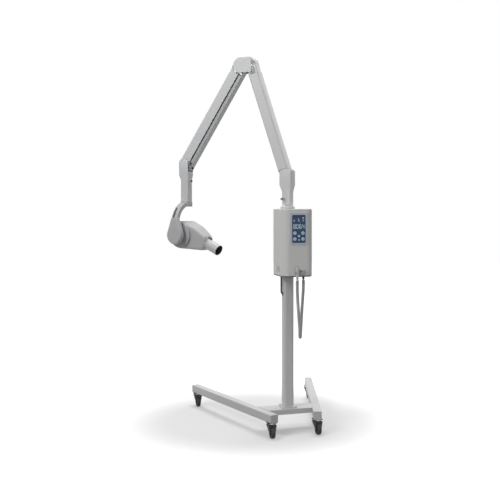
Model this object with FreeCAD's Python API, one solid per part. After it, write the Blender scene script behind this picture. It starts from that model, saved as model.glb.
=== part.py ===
import FreeCAD
import Part

import math
import os

# Mobile dental x-ray unit on a splayed two-leg caster base.
# X to the unit's left, -Y to the front where the legs open, +Z up; floor at Z = 0, column axis at X = Y = 0.

# Clearances
RUN = 0.05
SIDE_GAP = 0.4
FIT = 0.3
JOIN = 0.001

# Casters
CASTER_HEIGHT = 82.0
CASTER_PLATE = 50.0
CASTER_PLATE_THICK = 3.0
CASTER_STEM_R = 6.0
CASTER_RACE_R = 17.0
CASTER_RACE_THICK = 8.0
WHEEL_R = 31.5
WHEEL_WIDTH = 22.0
WHEEL_LIP = 0.5
CASTER_TRAIL = 16.0
CASTER_INSET = 27.0
AXLE_R = 4.0
FORK_CROWN = 4.0
FORK_WALL = 3.0
FORK_TOP_WIDTH = 46.0

# Legs and crossbar
LEG_TUBE = 45.0
LEG_ROUND = 5.0
LEG_WALL = 2.5
LEG_LENGTH = 912.0
LEG_SPLAY = 15.6
LEG_REAR_X = 121.0
LEG_REAR_Y = 148.0
END_CAP_THICK = 4.0
END_CAP_PLUG = 14.0
BAR_WIDTH = 114.0
BAR_HEIGHT = 27.0
BAR_SHEET = 4.0

# Column
COLUMN_SIDE = 56.0
COLUMN_ROUND = 11.0
COLUMN_WALL = 3.0
COLUMN_TOP_Z = 1212.5
FOOT_PLATE = 84.0
FOOT_THICK = 8.0
FOOT_BOLT_SPACING = 66.0
FOOT_BOLT_R = 4.0
BOLT_HEAD_R = 6.5
BOLT_HEAD_THICK = 4.0
HEAD_FLANGE_R = 40.0
HEAD_FLANGE_TOP_Z = 1222.5
SPIGOT_R = 17.0
SPIGOT_LENGTH = 82.0
RACE_R = 32.0
RACE_HEIGHT = 11.0
RACE_WINDOW = 25.0
CAMERA_SIDE = 72.6

# Control box
BOX_WIDTH = 171.0
BOX_OFFSET_X = -6.0
BOX_BACK_Y = -11.0
BOX_FRONT_Y = 170.0
BOX_TOP_Z = 1212.0
BOX_BOTTOM_Z = 851.0
BOX_CORNER = 34.0
BOX_REAR_CORNER = 6.0
BOX_TOP_ROUND = 5.0
BOX_WALL = 2.5
BASE_THICK = 6.0
BASE_INSET = 2.0
STRAP_THICK = 3.0
STRAP_HEIGHT = 30.0
STRAP_REACH = 58.0
STRAP_LEVELS = (915.0, 1135.0)

# Control panel
PANEL_X = -8.0
BEZEL_WIDTH = 102.0
BEZEL_TOP_Z = 1193.0
BEZEL_BOTTOM_Z = 1021.0
BEZEL_THICK = 4.0
BEZEL_TOP_ROUND = 10.0
BEZEL_LOW_ROUND = 22.0
PANEL_WIDTH = 75.0
PANEL_TOP_Z = 1180.0
PANEL_BOTTOM_Z = 1031.0
PANEL_THICK = 2.5
PANEL_ROUND = 7.0
DISPLAY_WIDTH = 64.0
DISPLAY_HEIGHT = 30.0
DISPLAY_Z = 1118.5
KEY_R = 6.8
KEY_SMALL_R = 4.6
KEY_THICK = 0.9
KEY_SPREAD = 22.5
KEY_ROW_HIGH_Z = 1083.5
KEY_ROW_LOW_Z = 1052.5
KEY_MIDDLE_Z = 1068.0

# Hand switch
SWITCH_X = 5.0
SWITCH_STAND_OFF = 17.0
SWITCH_R = 9.5
SWITCH_BOTTOM_Z = 853.0
SWITCH_LENGTH = 52.0
BUTTON_R = 5.5
BUTTON_RISE = 7.0
BUTTON_TRAVEL = 3.0
HOLDER_LEFT_X = -6.0
HOLDER_RIGHT_X = -41.0
HOLDER_BOTTOM_Z = 860.0
HOLDER_HEIGHT = 28.0
HOLDER_DEPTH = 17.0
CLIP_WALL = 2.5
CLIP_HEIGHT = 14.0
CLIP_MOUTH = 12.0
GLAND_R = 7.0
GLAND_LENGTH = 14.0

# Cords
CORD_R = 9.0
CORD_ROUTE = (
    (5.0, 187.0, 839.0),
    (6.5, 188.5, 800.0),
    (4.0, 188.0, 735.0),
    (-2.0, 186.5, 655.0),
    (-8.0, 184.5, 590.0),
    (-9.0, 186.5, 532.0),
    (-25.5, 147.5, 532.0),
    (-28.0, 149.0, 592.0),
    (-32.5, 147.5, 665.0),
    (-38.5, 147.0, 745.0),
    (-42.0, 148.5, 800.0),
    (-41.0, 148.0, 837.0),
)
CABLE_R = 4.5
CABLE_X = 36.5
CABLE_Y = -1.0
CABLE_BEND = 14.0
CABLE_ENTRY_Z = 746.0
GROMMET_R = 8.0
GROMMET_LIP = 2.0

# Arms
ARM_AZIMUTH = -40.0
ARM_LENGTH = 665.0
SHOULDER_Z = 1378.0
REAR_TILT = 18.5
FORE_TILT = 32.7
ELBOW_SPAN = 62.0
REAR_DEPTH = 58.0
ARM_WIDTH = 54.0
REAR_ROUND = 9.0
REAR_WALL = 3.0
REAR_LUG_R = 12.5
REAR_PIN_R = 7.0
REAR_LINK_OFFSET = 17.0
REAR_LINK_LEAN = 32.0
REAR_LINK_R = 4.0
LINK_PIN_R = 3.0
LINK_EYE_R = 6.0
LINK_EYE_WIDTH = 10.0
LINK_TAB = 4.0
LINK_LANE = 12.0
END_START = 44.0
CHEEK_THICK = 3.6
CHEEK_BLIND = 2.2

# Shoulder knuckle
NECK_SIDE = 52.0
NECK_ROUND = 10.0
KNUCKLE_FRONT = 38.0
KNUCKLE_BACK = -31.0
KNUCKLE_TOP = 53.0
KNUCKLE_FLOOR = -36.0
KNUCKLE_NECK_Z = 1306.0

# Elbow hub
HUB_TOP = 47.0
HUB_BOTTOM = -37.0
HUB_REAR = -3.0
HUB_BRIDGE = 3.6
HUB_FRONT = 45.0
HUB_CHIN = 16.0
HUB_CHIN_RISE = 14.0
HUB_ROUND = 43.0

# Forearm
FORE_OUTER = -45.0
FORE_SKIRT = 13.0
FORE_COVER_WALL = 2.5
FORE_COVER_WIDTH = 62.0
FORE_COVER_ROUND = 11.0
FORE_SEAM_R = 48.0
FORE_LUG_R = 17.0
FORE_PIN_R = 7.0
FORE_LINK_OFFSET = 24.0
FORE_LINK_HALF = 9.0
FORE_LINK_WIDTH = 45.0
FORE_LINK_WALL = 2.5
FORE_LINK_START = 58.0
BEAM_LOW = -6.0
BEAM_HIGH = -41.0
BEAM_WIDTH = 44.0
BEAM_WALL = 2.5

# Front knuckle and its drop tube
FRONT_TUBE = 52.0
FRONT_ROUND = 10.0
FRONT_TOP = 50.0
FRONT_LEFT = 30.6
FRONT_RIGHT = -29.0
FRONT_FLOOR = -44.0
YOKE_TOP_Z = 1252.0
STEM_R = 15.0
STEM_LENGTH = 60.0

# Knobs
KNOB_R = 7.0
KNOB_LENGTH = 20.0
KNOB_STUD_R = 3.0
LOCK_KNOB_Z = 1265.0
BRAKE_KNOB_Z = 1371.0
TENSION_SCREW_DROP = 12.0

# Yoke
HEAD_AZIMUTH = 128.6
HEAD_DROP = 386.0
YOKE_SIDE = 54.0
YOKE_HUB_LOW = 161.0
YOKE_WIDTH = 43.0
YOKE_OUTER = 108.0
YOKE_INNER = 84.0
YOKE_DISC_R = 53.0
YOKE_EDGE = 3.0
CAP_R = 50.0
CAP_THICK = 4.0
TILT_SHAFT_R = 20.0

# Tube head, in its own frame: X along the beam, Z up, origin on the tilt axis
BEAM_DIP = 24.0
DRUM_R = 78.0
DRUM_HALF = 57.0
NOSE_LENGTH = 168.0
NOSE_LOW = -22.0
NOSE_ROUND = 28.0
NOSE_LOW_ROUND = 16.0
NOSE_HALF = 44.0
TAPER_START = 20.0
HEAD_EDGE = 13.0
HEAD_WALL = 3.5
HEAD_SPLIT = 38.0
RING_OUTER = 73.0
RING_INNER = 43.0
RING_THICK = 6.0
BEAM_RISE = 19.0
CONE_R = 30.0
CONE_WALL = 2.0
CONE_LENGTH = 252.0
COLLAR_R = 32.0
COLLAR_THICK = 7.0
LAMP_R = 4.0
LAMP_LENGTH = 16.0
LAMP_RISE = 56.0

ORIGIN = FreeCAD.Vector(0, 0, 0)
X_AXIS = FreeCAD.Vector(1, 0, 0)
Y_AXIS = FreeCAD.Vector(0, 1, 0)
Z_AXIS = FreeCAD.Vector(0, 0, 1)

leg_top_z = CASTER_HEIGHT + LEG_TUBE
cheek_inner = ARM_WIDTH / 2 + SIDE_GAP
cheek_outer = cheek_inner + CHEEK_THICK


def vec(x, y, z):
    return FreeCAD.Vector(x, y, z)


def block(x0, x1, y0, y1, z0, z1):
    return Part.makeBox(x1 - x0, y1 - y0, z1 - z0, vec(x0, y0, z0))


def rod(radius, start, end):
    direction = end - start
    return Part.makeCylinder(radius, direction.Length, start, direction)


def pipe(outer, inner, start, end):
    return rod(outer, start, end).cut(rod(inner, start, end))


def moved(shape, offset):
    return shape.translated(offset)


def turned(shape, axis, angle, centre=ORIGIN):
    copy = shape.copy()
    copy.rotate(centre, axis, angle)
    return copy


def group(solids):
    return Part.makeCompound(solids)


def closed_wire(corners):
    """Closed wire in the XY plane through the corners (x, y, round)."""
    ends = []
    count = len(corners)
    for i, corner in enumerate(corners):
        here = vec(corner[0], corner[1], 0)
        before = vec(corners[i - 1][0], corners[i - 1][1], 0)
        after = vec(corners[(i + 1) % count][0], corners[(i + 1) % count][1], 0)
        radius = corner[2] if len(corner) > 2 else 0
        if radius <= 0:
            ends.append((here, None, here))
            continue
        back = (before - here).normalize()
        ahead = (after - here).normalize()
        half = back.getAngle(ahead) / 2
        middle_way = (back + ahead).normalize()
        reach = radius / math.tan(half)
        centre = here + middle_way * (radius / math.sin(half))
        ends.append((here + back * reach, centre - middle_way * radius, here + ahead * reach))
    edges = []
    for i, (first, mid, last) in enumerate(ends):
        if mid is not None:
            edges.append(Part.Arc(first, mid, last).toShape())
        following = ends[(i + 1) % count][0]
        if (following - last).Length > 0.001:
            edges.append(Part.LineSegment(last, following).toShape())
    return Part.Wire(edges)


def plate(corners, z0, z1):
    """Outline in the XY plane, raised from z0 to z1."""
    face = Part.Face(closed_wire(corners))
    face.translate(vec(0, 0, z0))
    return face.extrude(vec(0, 0, z1 - z0))


def side_plate(corners, y0, y1):
    """Outline of (x, z) corners in the XZ plane, filled from y0 to y1."""
    return turned(plate(corners, -y1, -y0), X_AXIS, 90)


def rectangle(x0, x1, y0, y1, radius=0):
    return ((x0, y0, radius), (x1, y0, radius), (x1, y1, radius), (x0, y1, radius))


def square_bar(side, radius, z0, z1):
    half = side / 2
    return plate(rectangle(-half, half, -half, half, radius), z0, z1)


def square_tube(side, radius, wall, z0, z1):
    inner = square_bar(side - 2 * wall, max(radius - wall, 1), z0, z1)
    return square_bar(side, radius, z0, z1).cut(inner)


def along_y(radius, y0, y1, x=0.0, z=0.0):
    return rod(radius, vec(x, y0, z), vec(x, y1, z))


def tube_path(points, radius):
    """Round bar along straight runs joined by tangent arcs."""
    nodes = [vec(*p) for p in points]
    edges = []
    radii = []
    last = nodes[0]
    for before, here, after in zip(nodes, nodes[1:], nodes[2:]):
        back = (before - here).normalize()
        ahead = (after - here).normalize()
        half = back.getAngle(ahead) / 2
        shorter = min((before - here).Length, (after - here).Length)
        reach = 0.45 * shorter
        bend = reach * math.tan(half)
        radii.append(round(bend, 1))
        middle_way = (back + ahead).normalize()
        centre = here + middle_way * (bend / math.sin(half))
        first = here + back * reach
        edges.append(Part.LineSegment(last, first).toShape())
        last = here + ahead * reach
        edges.append(Part.Arc(first, centre - middle_way * bend, last).toShape())
    edges.append(Part.LineSegment(last, nodes[-1]).toShape())
    spine = Part.Wire(edges)
    circle = Part.Circle(nodes[0], nodes[1] - nodes[0], radius)
    profile = Part.Wire([circle.toShape()])
    solid = spine.makePipeShell([profile], True, True)
    return solid, radii, spine.Length


# Frames of the arm, the two links of it and the head

def in_arm(shape):
    """From the arm plane (x outward, z up) to the unit."""
    return turned(shape, Z_AXIS, ARM_AZIMUTH)


def arm_point(a, n, z):
    angle = math.radians(ARM_AZIMUTH)
    return vec(a * math.cos(angle) - n * math.sin(angle), a * math.sin(angle) + n * math.cos(angle), z)


rear_tilt = math.radians(REAR_TILT)
fore_tilt = math.radians(FORE_TILT)
shoulder = vec(0, 0, SHOULDER_Z)
elbow_rear = shoulder + vec(math.sin(rear_tilt), 0, math.cos(rear_tilt)) * ARM_LENGTH
elbow_front = elbow_rear + vec(ELBOW_SPAN, 0, 0)
wrist = elbow_front + vec(math.sin(fore_tilt), 0, -math.cos(fore_tilt)) * ARM_LENGTH
link_lean = math.radians(REAR_LINK_LEAN)
rear_link_shift = vec(math.cos(link_lean), 0, -math.sin(link_lean)) * REAR_LINK_OFFSET
fore_link_shift = vec(-math.cos(fore_tilt), 0, -math.sin(fore_tilt)) * FORE_LINK_OFFSET
head_x = wrist.x
tilt_axis_z = wrist.z - HEAD_DROP


def in_rear_arm(shape):
    """From the rear arm (z along it from the shoulder pin) to the unit."""
    return in_arm(moved(turned(shape, Y_AXIS, REAR_TILT), shoulder))


def in_forearm(shape):
    """From the forearm (z along it from the elbow pin, x to its underside) to the unit."""
    return in_arm(moved(turned(shape, Y_AXIS, 180 - FORE_TILT), elbow_front))


def in_yoke(shape):
    """From the yoke (x along the beam's heading, z up from the tilt axis) to the unit."""
    spot = arm_point(head_x, 0, tilt_axis_z)
    return moved(turned(shape, Z_AXIS, HEAD_AZIMUTH), spot)


def in_head(shape):
    return in_yoke(turned(shape, Y_AXIS, BEAM_DIP))


# Base

def leg_frame(side, shape):
    """From a leg (x along it from its rear end) to the unit; side is +1 left, -1 right."""
    splay = math.radians(LEG_SPLAY)
    heading = math.degrees(math.atan2(-math.cos(splay), side * math.sin(splay)))
    return moved(turned(shape, Z_AXIS, heading), vec(side * LEG_REAR_X, LEG_REAR_Y, 0))


def leg(side):
    tube = turned(square_tube(LEG_TUBE, LEG_ROUND, LEG_WALL, 0, LEG_LENGTH), Y_AXIS, 90)
    tube = moved(tube, vec(0, 0, CASTER_HEIGHT + LEG_TUBE / 2))
    return leg_frame(side, tube)


def leg_end_cap(side, front):
    half = LEG_TUBE / 2
    inner = LEG_TUBE - 2 * LEG_WALL - 2 * FIT
    disc = square_bar(LEG_TUBE, LEG_ROUND, -END_CAP_THICK, 0)
    disc = disc.makeChamfer(1.2, [e for e in disc.Edges if e.CenterOfMass.z < -END_CAP_THICK + 0.01])
    plug = square_tube(inner, LEG_ROUND - LEG_WALL, 3.0, 0, END_CAP_PLUG)
    cap = turned(disc.fuse(plug), Y_AXIS, 90)
    if front:
        cap = moved(turned(cap, Z_AXIS, 180), vec(LEG_LENGTH, 0, 0))
    return leg_frame(side, moved(cap, vec(0, 0, CASTER_HEIGHT + half)))


def inner_face_x(y):
    """X of a leg's inner face at the height of Y."""
    splay = math.radians(LEG_SPLAY)
    x = LEG_REAR_X - math.cos(splay) * LEG_TUBE / 2
    foot = LEG_REAR_Y - math.sin(splay) * LEG_TUBE / 2
    return x + (foot - y) * math.tan(splay)


def crossbar():
    """Folded channel, open below, cut at the legs' splay and holed for the foot bolts."""
    half = BAR_WIDTH / 2
    rear = inner_face_x(half)
    front = inner_face_x(-half)
    plan = ((-front, -half), (front, -half), (rear, half), (-rear, half))
    bar = plate(plan, leg_top_z - BAR_HEIGHT, leg_top_z)
    hollow = block(-front, front, -half + BAR_SHEET, half - BAR_SHEET, 0, leg_top_z - BAR_SHEET)
    bar = bar.cut(hollow)
    for x, y in bolt_spots():
        bar = bar.cut(rod(FOOT_BOLT_R + FIT, vec(x, y, 0), vec(x, y, leg_top_z + 1)))
    return bar


def bolt_spots():
    half = FOOT_BOLT_SPACING / 2
    return [(x, y) for x in (-half, half) for y in (-half, half)]


# Casters, each in its own frame with the stem on the Z axis

def caster_sites():
    """Name, stem X and stem Y of the four casters."""
    splay = math.radians(LEG_SPLAY)
    sites = []
    for side, hand in ((1, "left"), (-1, "right")):
        for reach, end in ((CASTER_INSET, "rear"), (LEG_LENGTH - CASTER_INSET, "front")):
            x = side * (LEG_REAR_X + reach * math.sin(splay))
            y = LEG_REAR_Y - reach * math.cos(splay)
            sites.append((end + "_" + hand, x, y))
    return sites


def caster_plate():
    half = CASTER_PLATE / 2
    low = CASTER_HEIGHT - CASTER_PLATE_THICK
    sheet = plate(rectangle(-half, half, -half, half, 6), low, CASTER_HEIGHT)
    return sheet.cut(rod(CASTER_STEM_R + RUN, vec(0, 0, low - 1), vec(0, 0, CASTER_HEIGHT + 1)))


def caster_race():
    """Pressed-steel ball race under the plate."""
    top = CASTER_HEIGHT - CASTER_PLATE_THICK
    low = top - CASTER_RACE_THICK + FIT
    race = pipe(CASTER_RACE_R, CASTER_STEM_R + RUN, vec(0, 0, low), vec(0, 0, top))
    return race.makeChamfer(1.5, [e for e in race.Edges if e.CenterOfMass.z < low + 0.01
                                  and e.BoundBox.XLength > 2 * CASTER_RACE_R - 1])


def caster_fork():
    """Stem, crown and two converging legs that trail the stem, with the axle through them."""
    crown_top = CASTER_HEIGHT - CASTER_PLATE_THICK - CASTER_RACE_THICK
    top = FORK_TOP_WIDTH / 2
    slot = WHEEL_WIDTH / 2 + 1.2
    foot = slot + FORK_WALL
    toe = WHEEL_R - 11
    front_view = turned(side_plate(
        ((-top, crown_top, 2), (-top, crown_top - FORK_CROWN, 3), (-foot, WHEEL_R, 6), (-foot, toe),
         (foot, toe), (foot, WHEEL_R, 6), (top, crown_top - FORK_CROWN, 3), (top, crown_top, 2)),
        -80, 80), Z_AXIS, 0)
    side_view = turned(side_plate(
        ((-22, crown_top), (-22, crown_top - FORK_CROWN, 4), (CASTER_TRAIL - 11, WHEEL_R, 8),
         (CASTER_TRAIL - 10, toe, 9), (CASTER_TRAIL + 10, toe, 9), (CASTER_TRAIL + 11, WHEEL_R, 8),
         (22, crown_top - FORK_CROWN, 4), (22, crown_top)),
        -80, 80), Z_AXIS, 90)
    fork = front_view.common(side_view)
    fork = fork.cut(block(-slot, slot, -80, 80, 0, crown_top - FORK_CROWN - 2))
    fork = fork.cut(rod(AXLE_R, vec(-60, CASTER_TRAIL, WHEEL_R), vec(60, CASTER_TRAIL, WHEEL_R)))
    stem = rod(CASTER_STEM_R, vec(0, 0, crown_top - 1), vec(0, 0, CASTER_HEIGHT - 0.5))
    axle = rod(AXLE_R, vec(-foot - 1, CASTER_TRAIL, WHEEL_R), vec(foot + 1, CASTER_TRAIL, WHEEL_R))
    return group([fork.fuse(stem), axle])


def wheel():
    """Moulded wheel: crowned tread, dished web and bored hub."""
    half = WHEEL_WIDTH / 2
    bore = AXLE_R + RUN
    hub = 9.0
    rim = WHEEL_R - 7.5
    dish = 5.0
    lip = half - WHEEL_LIP
    profile = (
        (bore, -half), (hub, -half), (hub + 2, -half + dish), (rim - 2, -half + dish), (rim, -lip),
        (WHEEL_R - 2.5, -lip), (WHEEL_R, -lip + 5, 12), (WHEEL_R, lip - 5, 12), (WHEEL_R - 2.5, lip), (rim, lip),
        (rim - 2, half - dish), (hub + 2, half - dish), (hub, half), (bore, half),
    )
    face = Part.Face(closed_wire(profile))
    body = face.revolve(ORIGIN, Y_AXIS, 360)
    body = turned(body, Z_AXIS, -90)
    return moved(body, vec(0, CASTER_TRAIL, WHEEL_R))


# Column

def column_foot():
    sheet = square_bar(FOOT_PLATE, 8, leg_top_z, leg_top_z + FOOT_THICK)
    for x, y in bolt_spots():
        sheet = sheet.cut(rod(FOOT_BOLT_R + FIT, vec(x, y, leg_top_z - 1), vec(x, y, leg_top_z + FOOT_THICK + 1)))
    return sheet


def foot_bolts():
    seat = leg_top_z + FOOT_THICK
    bolts = []
    for x, y in bolt_spots():
        head = rod(BOLT_HEAD_R, vec(x, y, seat), vec(x, y, seat + BOLT_HEAD_THICK))
        shank = rod(FOOT_BOLT_R, vec(x, y, leg_top_z - 14), vec(x, y, seat))
        bolts.append(head.fuse(shank))
    return group(bolts)


def column():
    tube = square_tube(COLUMN_SIDE, COLUMN_ROUND, COLUMN_WALL, leg_top_z + FOOT_THICK, COLUMN_TOP_Z)
    hole = rod(GROMMET_R, vec(0, CABLE_Y, CABLE_ENTRY_Z), vec(COLUMN_SIDE, CABLE_Y, CABLE_ENTRY_Z))
    return tube.cut(hole)


def column_head():
    """Plug, flange and swivel spigot on top of the column."""
    inner = COLUMN_SIDE - 2 * COLUMN_WALL - 2 * FIT
    plug = square_bar(inner, COLUMN_ROUND - COLUMN_WALL, COLUMN_TOP_Z - 40, COLUMN_TOP_Z)
    flange = rod(HEAD_FLANGE_R, vec(0, 0, COLUMN_TOP_Z), vec(0, 0, HEAD_FLANGE_TOP_Z))
    flange = flange.makeFillet(2, [e for e in flange.Edges if e.CenterOfMass.z > HEAD_FLANGE_TOP_Z - 0.01])
    spigot = rod(SPIGOT_R, vec(0, 0, HEAD_FLANGE_TOP_Z), vec(0, 0, HEAD_FLANGE_TOP_Z + SPIGOT_LENGTH))
    body = plug.fuse([flange, spigot])
    return body.cut(rod(9, vec(0, 0, 0), vec(0, 0, 2000)))


def collar_ring():
    """Plain bearing ring between flange and knuckle, with its cable window."""
    low = HEAD_FLANGE_TOP_Z
    ring = pipe(RACE_R, SPIGOT_R + FIT, vec(0, 0, low), vec(0, 0, low + RACE_HEIGHT))
    window = block(SPIGOT_R + 6, 60, -RACE_WINDOW / 2, RACE_WINDOW / 2, low + 2, low + RACE_HEIGHT - 2)
    return ring.cut(turned(window, Z_AXIS, CAMERA_SIDE))


# Control box

def box_plan(inset):
    x0 = BOX_OFFSET_X - BOX_WIDTH / 2 + inset
    x1 = BOX_OFFSET_X + BOX_WIDTH / 2 - inset
    y0 = BOX_BACK_Y + inset
    y1 = BOX_FRONT_Y - inset
    front = BOX_CORNER - inset
    rear = max(BOX_REAR_CORNER - inset, 1)
    return ((x0, y0, rear), (x1, y0, rear), (x1, y1, front), (x0, y1, front))


notch_half = COLUMN_SIDE / 2 + 1.0
notch_front = COLUMN_SIDE / 2 + 1.0


def column_notch(grow, z0, z1):
    return block(-notch_half - grow, notch_half + grow, BOX_BACK_Y - 20, notch_front + grow, z0, z1)


def box_shell():
    """Deep-drawn cover, open below and behind, rounded at the front corners."""
    low = BOX_BOTTOM_Z + BASE_THICK
    outer = plate(box_plan(0), low, BOX_TOP_Z)
    outer = outer.makeFillet(BOX_TOP_ROUND, [e for e in outer.Edges if e.CenterOfMass.z > BOX_TOP_Z - 0.01])
    inner = plate(box_plan(BOX_WALL), low - 1, BOX_TOP_Z - BOX_WALL)
    side = BOX_WIDTH / 2 - BOX_WALL
    behind = block(BOX_OFFSET_X - side, BOX_OFFSET_X + side, BOX_BACK_Y - 5, BOX_BACK_Y + 2 * BOX_WALL + 5,
                   low - 1, BOX_TOP_Z - BOX_WALL)
    shell = outer.cut([inner, behind, column_notch(0, low - 1, BOX_TOP_Z + 1)])
    vents = [
        block(BOX_OFFSET_X + BOX_WIDTH / 2 - 10, BOX_OFFSET_X + BOX_WIDTH / 2 + 5, 60 + 11 * i, 65 + 11 * i, 875, 905)
        for i in range(5)
    ]
    return shell.cut(vents)


def box_back():
    """Folded back sheet that wraps the column in a vertical channel."""
    t = BOX_WALL
    x0 = BOX_OFFSET_X - BOX_WIDTH / 2 + BOX_WALL + FIT
    x1 = BOX_OFFSET_X + BOX_WIDTH / 2 - BOX_WALL - FIT
    y0 = BOX_BACK_Y + 0.5
    n = notch_half
    f = notch_front
    plan = (
        (x0, y0), (-n, y0), (-n, f), (n, f), (n, y0), (x1, y0),
        (x1, y0 + t), (n + t, y0 + t), (n + t, f + t), (-n - t, f + t), (-n - t, y0 + t), (x0, y0 + t),
    )
    return plate(plan, BOX_BOTTOM_Z + BASE_THICK, BOX_TOP_Z - BOX_WALL)


def box_bottom():
    sheet = plate(box_plan(BASE_INSET), BOX_BOTTOM_Z, BOX_BOTTOM_Z + BASE_THICK)
    sheet = sheet.cut(column_notch(0, 0, 2000))
    gland = CORD_ROUTE[-1]
    sheet = sheet.cut(rod(GLAND_R - 2, vec(gland[0], gland[1], 0), vec(gland[0], gland[1], 2000)))
    return sheet.cut(rod(CABLE_R + FIT, vec(CABLE_X, CABLE_Y, 0), vec(CABLE_X, CABLE_Y, 2000)))


def box_straps():
    """Two folded straps that clamp the box's back to the column."""
    half = COLUMN_SIDE / 2
    t = STRAP_THICK
    y0 = BOX_BACK_Y + 0.5
    straps = []
    for z in STRAP_LEVELS:
        plan = (
            (-STRAP_REACH, y0 - t, 1), (-half - t, y0 - t, 2), (-half - t, -half - t, 8), (half + t, -half - t, 8),
            (half + t, y0 - t, 2), (STRAP_REACH, y0 - t, 1), (STRAP_REACH, y0, 0.5), (half, y0, 0.5),
            (half, -half, 5), (-half, -half, 5), (-half, y0, 0.5), (-STRAP_REACH, y0, 0.5),
        )
        straps.append(plate(plan, z, z + STRAP_HEIGHT))
    return group(straps)


def power_transformer():
    core = block(-62, 42, 52, 118, BOX_BOTTOM_Z + BASE_THICK, BOX_BOTTOM_Z + BASE_THICK + 88)
    window = block(-44, 24, 40, 130, BOX_BOTTOM_Z + BASE_THICK + 20, BOX_BOTTOM_Z + BASE_THICK + 68)
    coil = block(-44, 24, 44, 126, BOX_BOTTOM_Z + BASE_THICK + 20, BOX_BOTTOM_Z + BASE_THICK + 68)
    return core.cut(window), coil


def control_board():
    face = BOX_FRONT_Y - BOX_WALL
    board = block(-55, 38, face - 10, face - 8, 1010, 1190)
    posts = [rod(3, vec(x, face - 8, z), vec(x, face, z)) for x in (-48, 31) for z in (1018, 1182)]
    return board.fuse(posts)


# Control panel, on the box's flat front

def front_plate(corners, depth0, depth1):
    """Outline of (x, z) corners standing off the box's front by depth0 to depth1."""
    return side_plate(corners, BOX_FRONT_Y + depth0, BOX_FRONT_Y + depth1)


def panel_bezel():
    half = BEZEL_WIDTH / 2
    x0 = PANEL_X - half
    x1 = PANEL_X + half
    frame = front_plate(
        ((x0, BEZEL_BOTTOM_Z, BEZEL_LOW_ROUND), (x1, BEZEL_BOTTOM_Z, BEZEL_LOW_ROUND),
         (x1, BEZEL_TOP_Z, BEZEL_TOP_ROUND), (x0, BEZEL_TOP_Z, BEZEL_TOP_ROUND)), 0, BEZEL_THICK)
    rim = [e for e in frame.Edges if abs(e.CenterOfMass.y - BOX_FRONT_Y - BEZEL_THICK) < 0.01]
    frame = frame.makeFillet(1.8, rim)
    inner = PANEL_WIDTH / 2
    pocket = front_plate(rectangle(PANEL_X - inner, PANEL_X + inner, PANEL_BOTTOM_Z, PANEL_TOP_Z, PANEL_ROUND),
                         1.0, BEZEL_THICK + 1)
    return frame.cut(pocket)


def panel_membrane():
    inner = PANEL_WIDTH / 2 - FIT
    return front_plate(rectangle(PANEL_X - inner, PANEL_X + inner, PANEL_BOTTOM_Z + FIT, PANEL_TOP_Z - FIT,
                                 PANEL_ROUND - FIT), 1.0, 1.0 + PANEL_THICK)


def panel_display():
    half = DISPLAY_WIDTH / 2
    low = DISPLAY_Z - DISPLAY_HEIGHT / 2
    return front_plate(rectangle(PANEL_X - half, PANEL_X + half, low, low + DISPLAY_HEIGHT, 2),
                       1.0 + PANEL_THICK, 1.6 + PANEL_THICK)


def panel_keys():
    seat = BOX_FRONT_Y + 1.0 + PANEL_THICK
    spots = [
        (PANEL_X + KEY_SPREAD, KEY_ROW_HIGH_Z, KEY_R), (PANEL_X - KEY_SPREAD, KEY_ROW_HIGH_Z, KEY_R),
        (PANEL_X + KEY_SPREAD, KEY_ROW_LOW_Z, KEY_R), (PANEL_X - KEY_SPREAD, KEY_ROW_LOW_Z, KEY_R),
        (PANEL_X, KEY_MIDDLE_Z, KEY_SMALL_R), (PANEL_X, KEY_ROW_LOW_Z - 5, KEY_SMALL_R),
    ]
    return group([along_y(r, seat, seat + KEY_THICK, x, z) for x, z, r in spots])


# Hand switch in its holder

switch_y = BOX_FRONT_Y + SWITCH_STAND_OFF
switch_top_z = SWITCH_BOTTOM_Z + SWITCH_LENGTH


def switch_holder():
    """Screwed-on block with a spring clip open to the front, and its screw pocket."""
    low = HOLDER_BOTTOM_Z
    high = low + HOLDER_HEIGHT
    body = block(HOLDER_RIGHT_X, HOLDER_LEFT_X, BOX_FRONT_Y, BOX_FRONT_Y + HOLDER_DEPTH, low, high)
    upright = [e for e in body.Edges if e.CenterOfMass.y > BOX_FRONT_Y + HOLDER_DEPTH - 0.01]
    body = body.makeFillet(3, upright)
    screw_x = HOLDER_LEFT_X - 9
    screw_z = high - 6.5
    body = body.cut(along_y(4.5, BOX_FRONT_Y + 5, BOX_FRONT_Y + HOLDER_DEPTH + 1, screw_x, screw_z))
    clip_low = low + (HOLDER_HEIGHT - CLIP_HEIGHT) / 2
    clip_high = clip_low + CLIP_HEIGHT
    outer = rod(SWITCH_R + FIT + CLIP_WALL, vec(SWITCH_X, switch_y, clip_low), vec(SWITCH_X, switch_y, clip_high))
    web = block(HOLDER_LEFT_X - 4, SWITCH_X, BOX_FRONT_Y + 5, BOX_FRONT_Y + 12, clip_low, clip_high)
    clip = outer.fuse(web)
    clip = clip.cut(rod(SWITCH_R + FIT, vec(SWITCH_X, switch_y, 0), vec(SWITCH_X, switch_y, 2000)))
    mouth = block(SWITCH_X - CLIP_MOUTH / 2, SWITCH_X + CLIP_MOUTH / 2, switch_y, switch_y + 30, 0, 2000)
    return body.fuse(clip.cut(mouth))


def hand_switch():
    """Two-radius grip with a bored nose that guides the button."""
    low = SWITCH_BOTTOM_Z
    grip = rod(SWITCH_R, vec(SWITCH_X, switch_y, low), vec(SWITCH_X, switch_y, switch_top_z))
    rims = [e for e in grip.Edges if e.BoundBox.ZLength < 0.01]
    grip = grip.makeFillet(2.5, rims)
    well = rod(BUTTON_R + 0.08, vec(SWITCH_X, switch_y, switch_top_z - 18), vec(SWITCH_X, switch_y, switch_top_z + 1))
    relief = pipe_stub(SWITCH_X, switch_y, low - GLAND_LENGTH, low)
    return grip.cut(well).fuse(relief)


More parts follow.
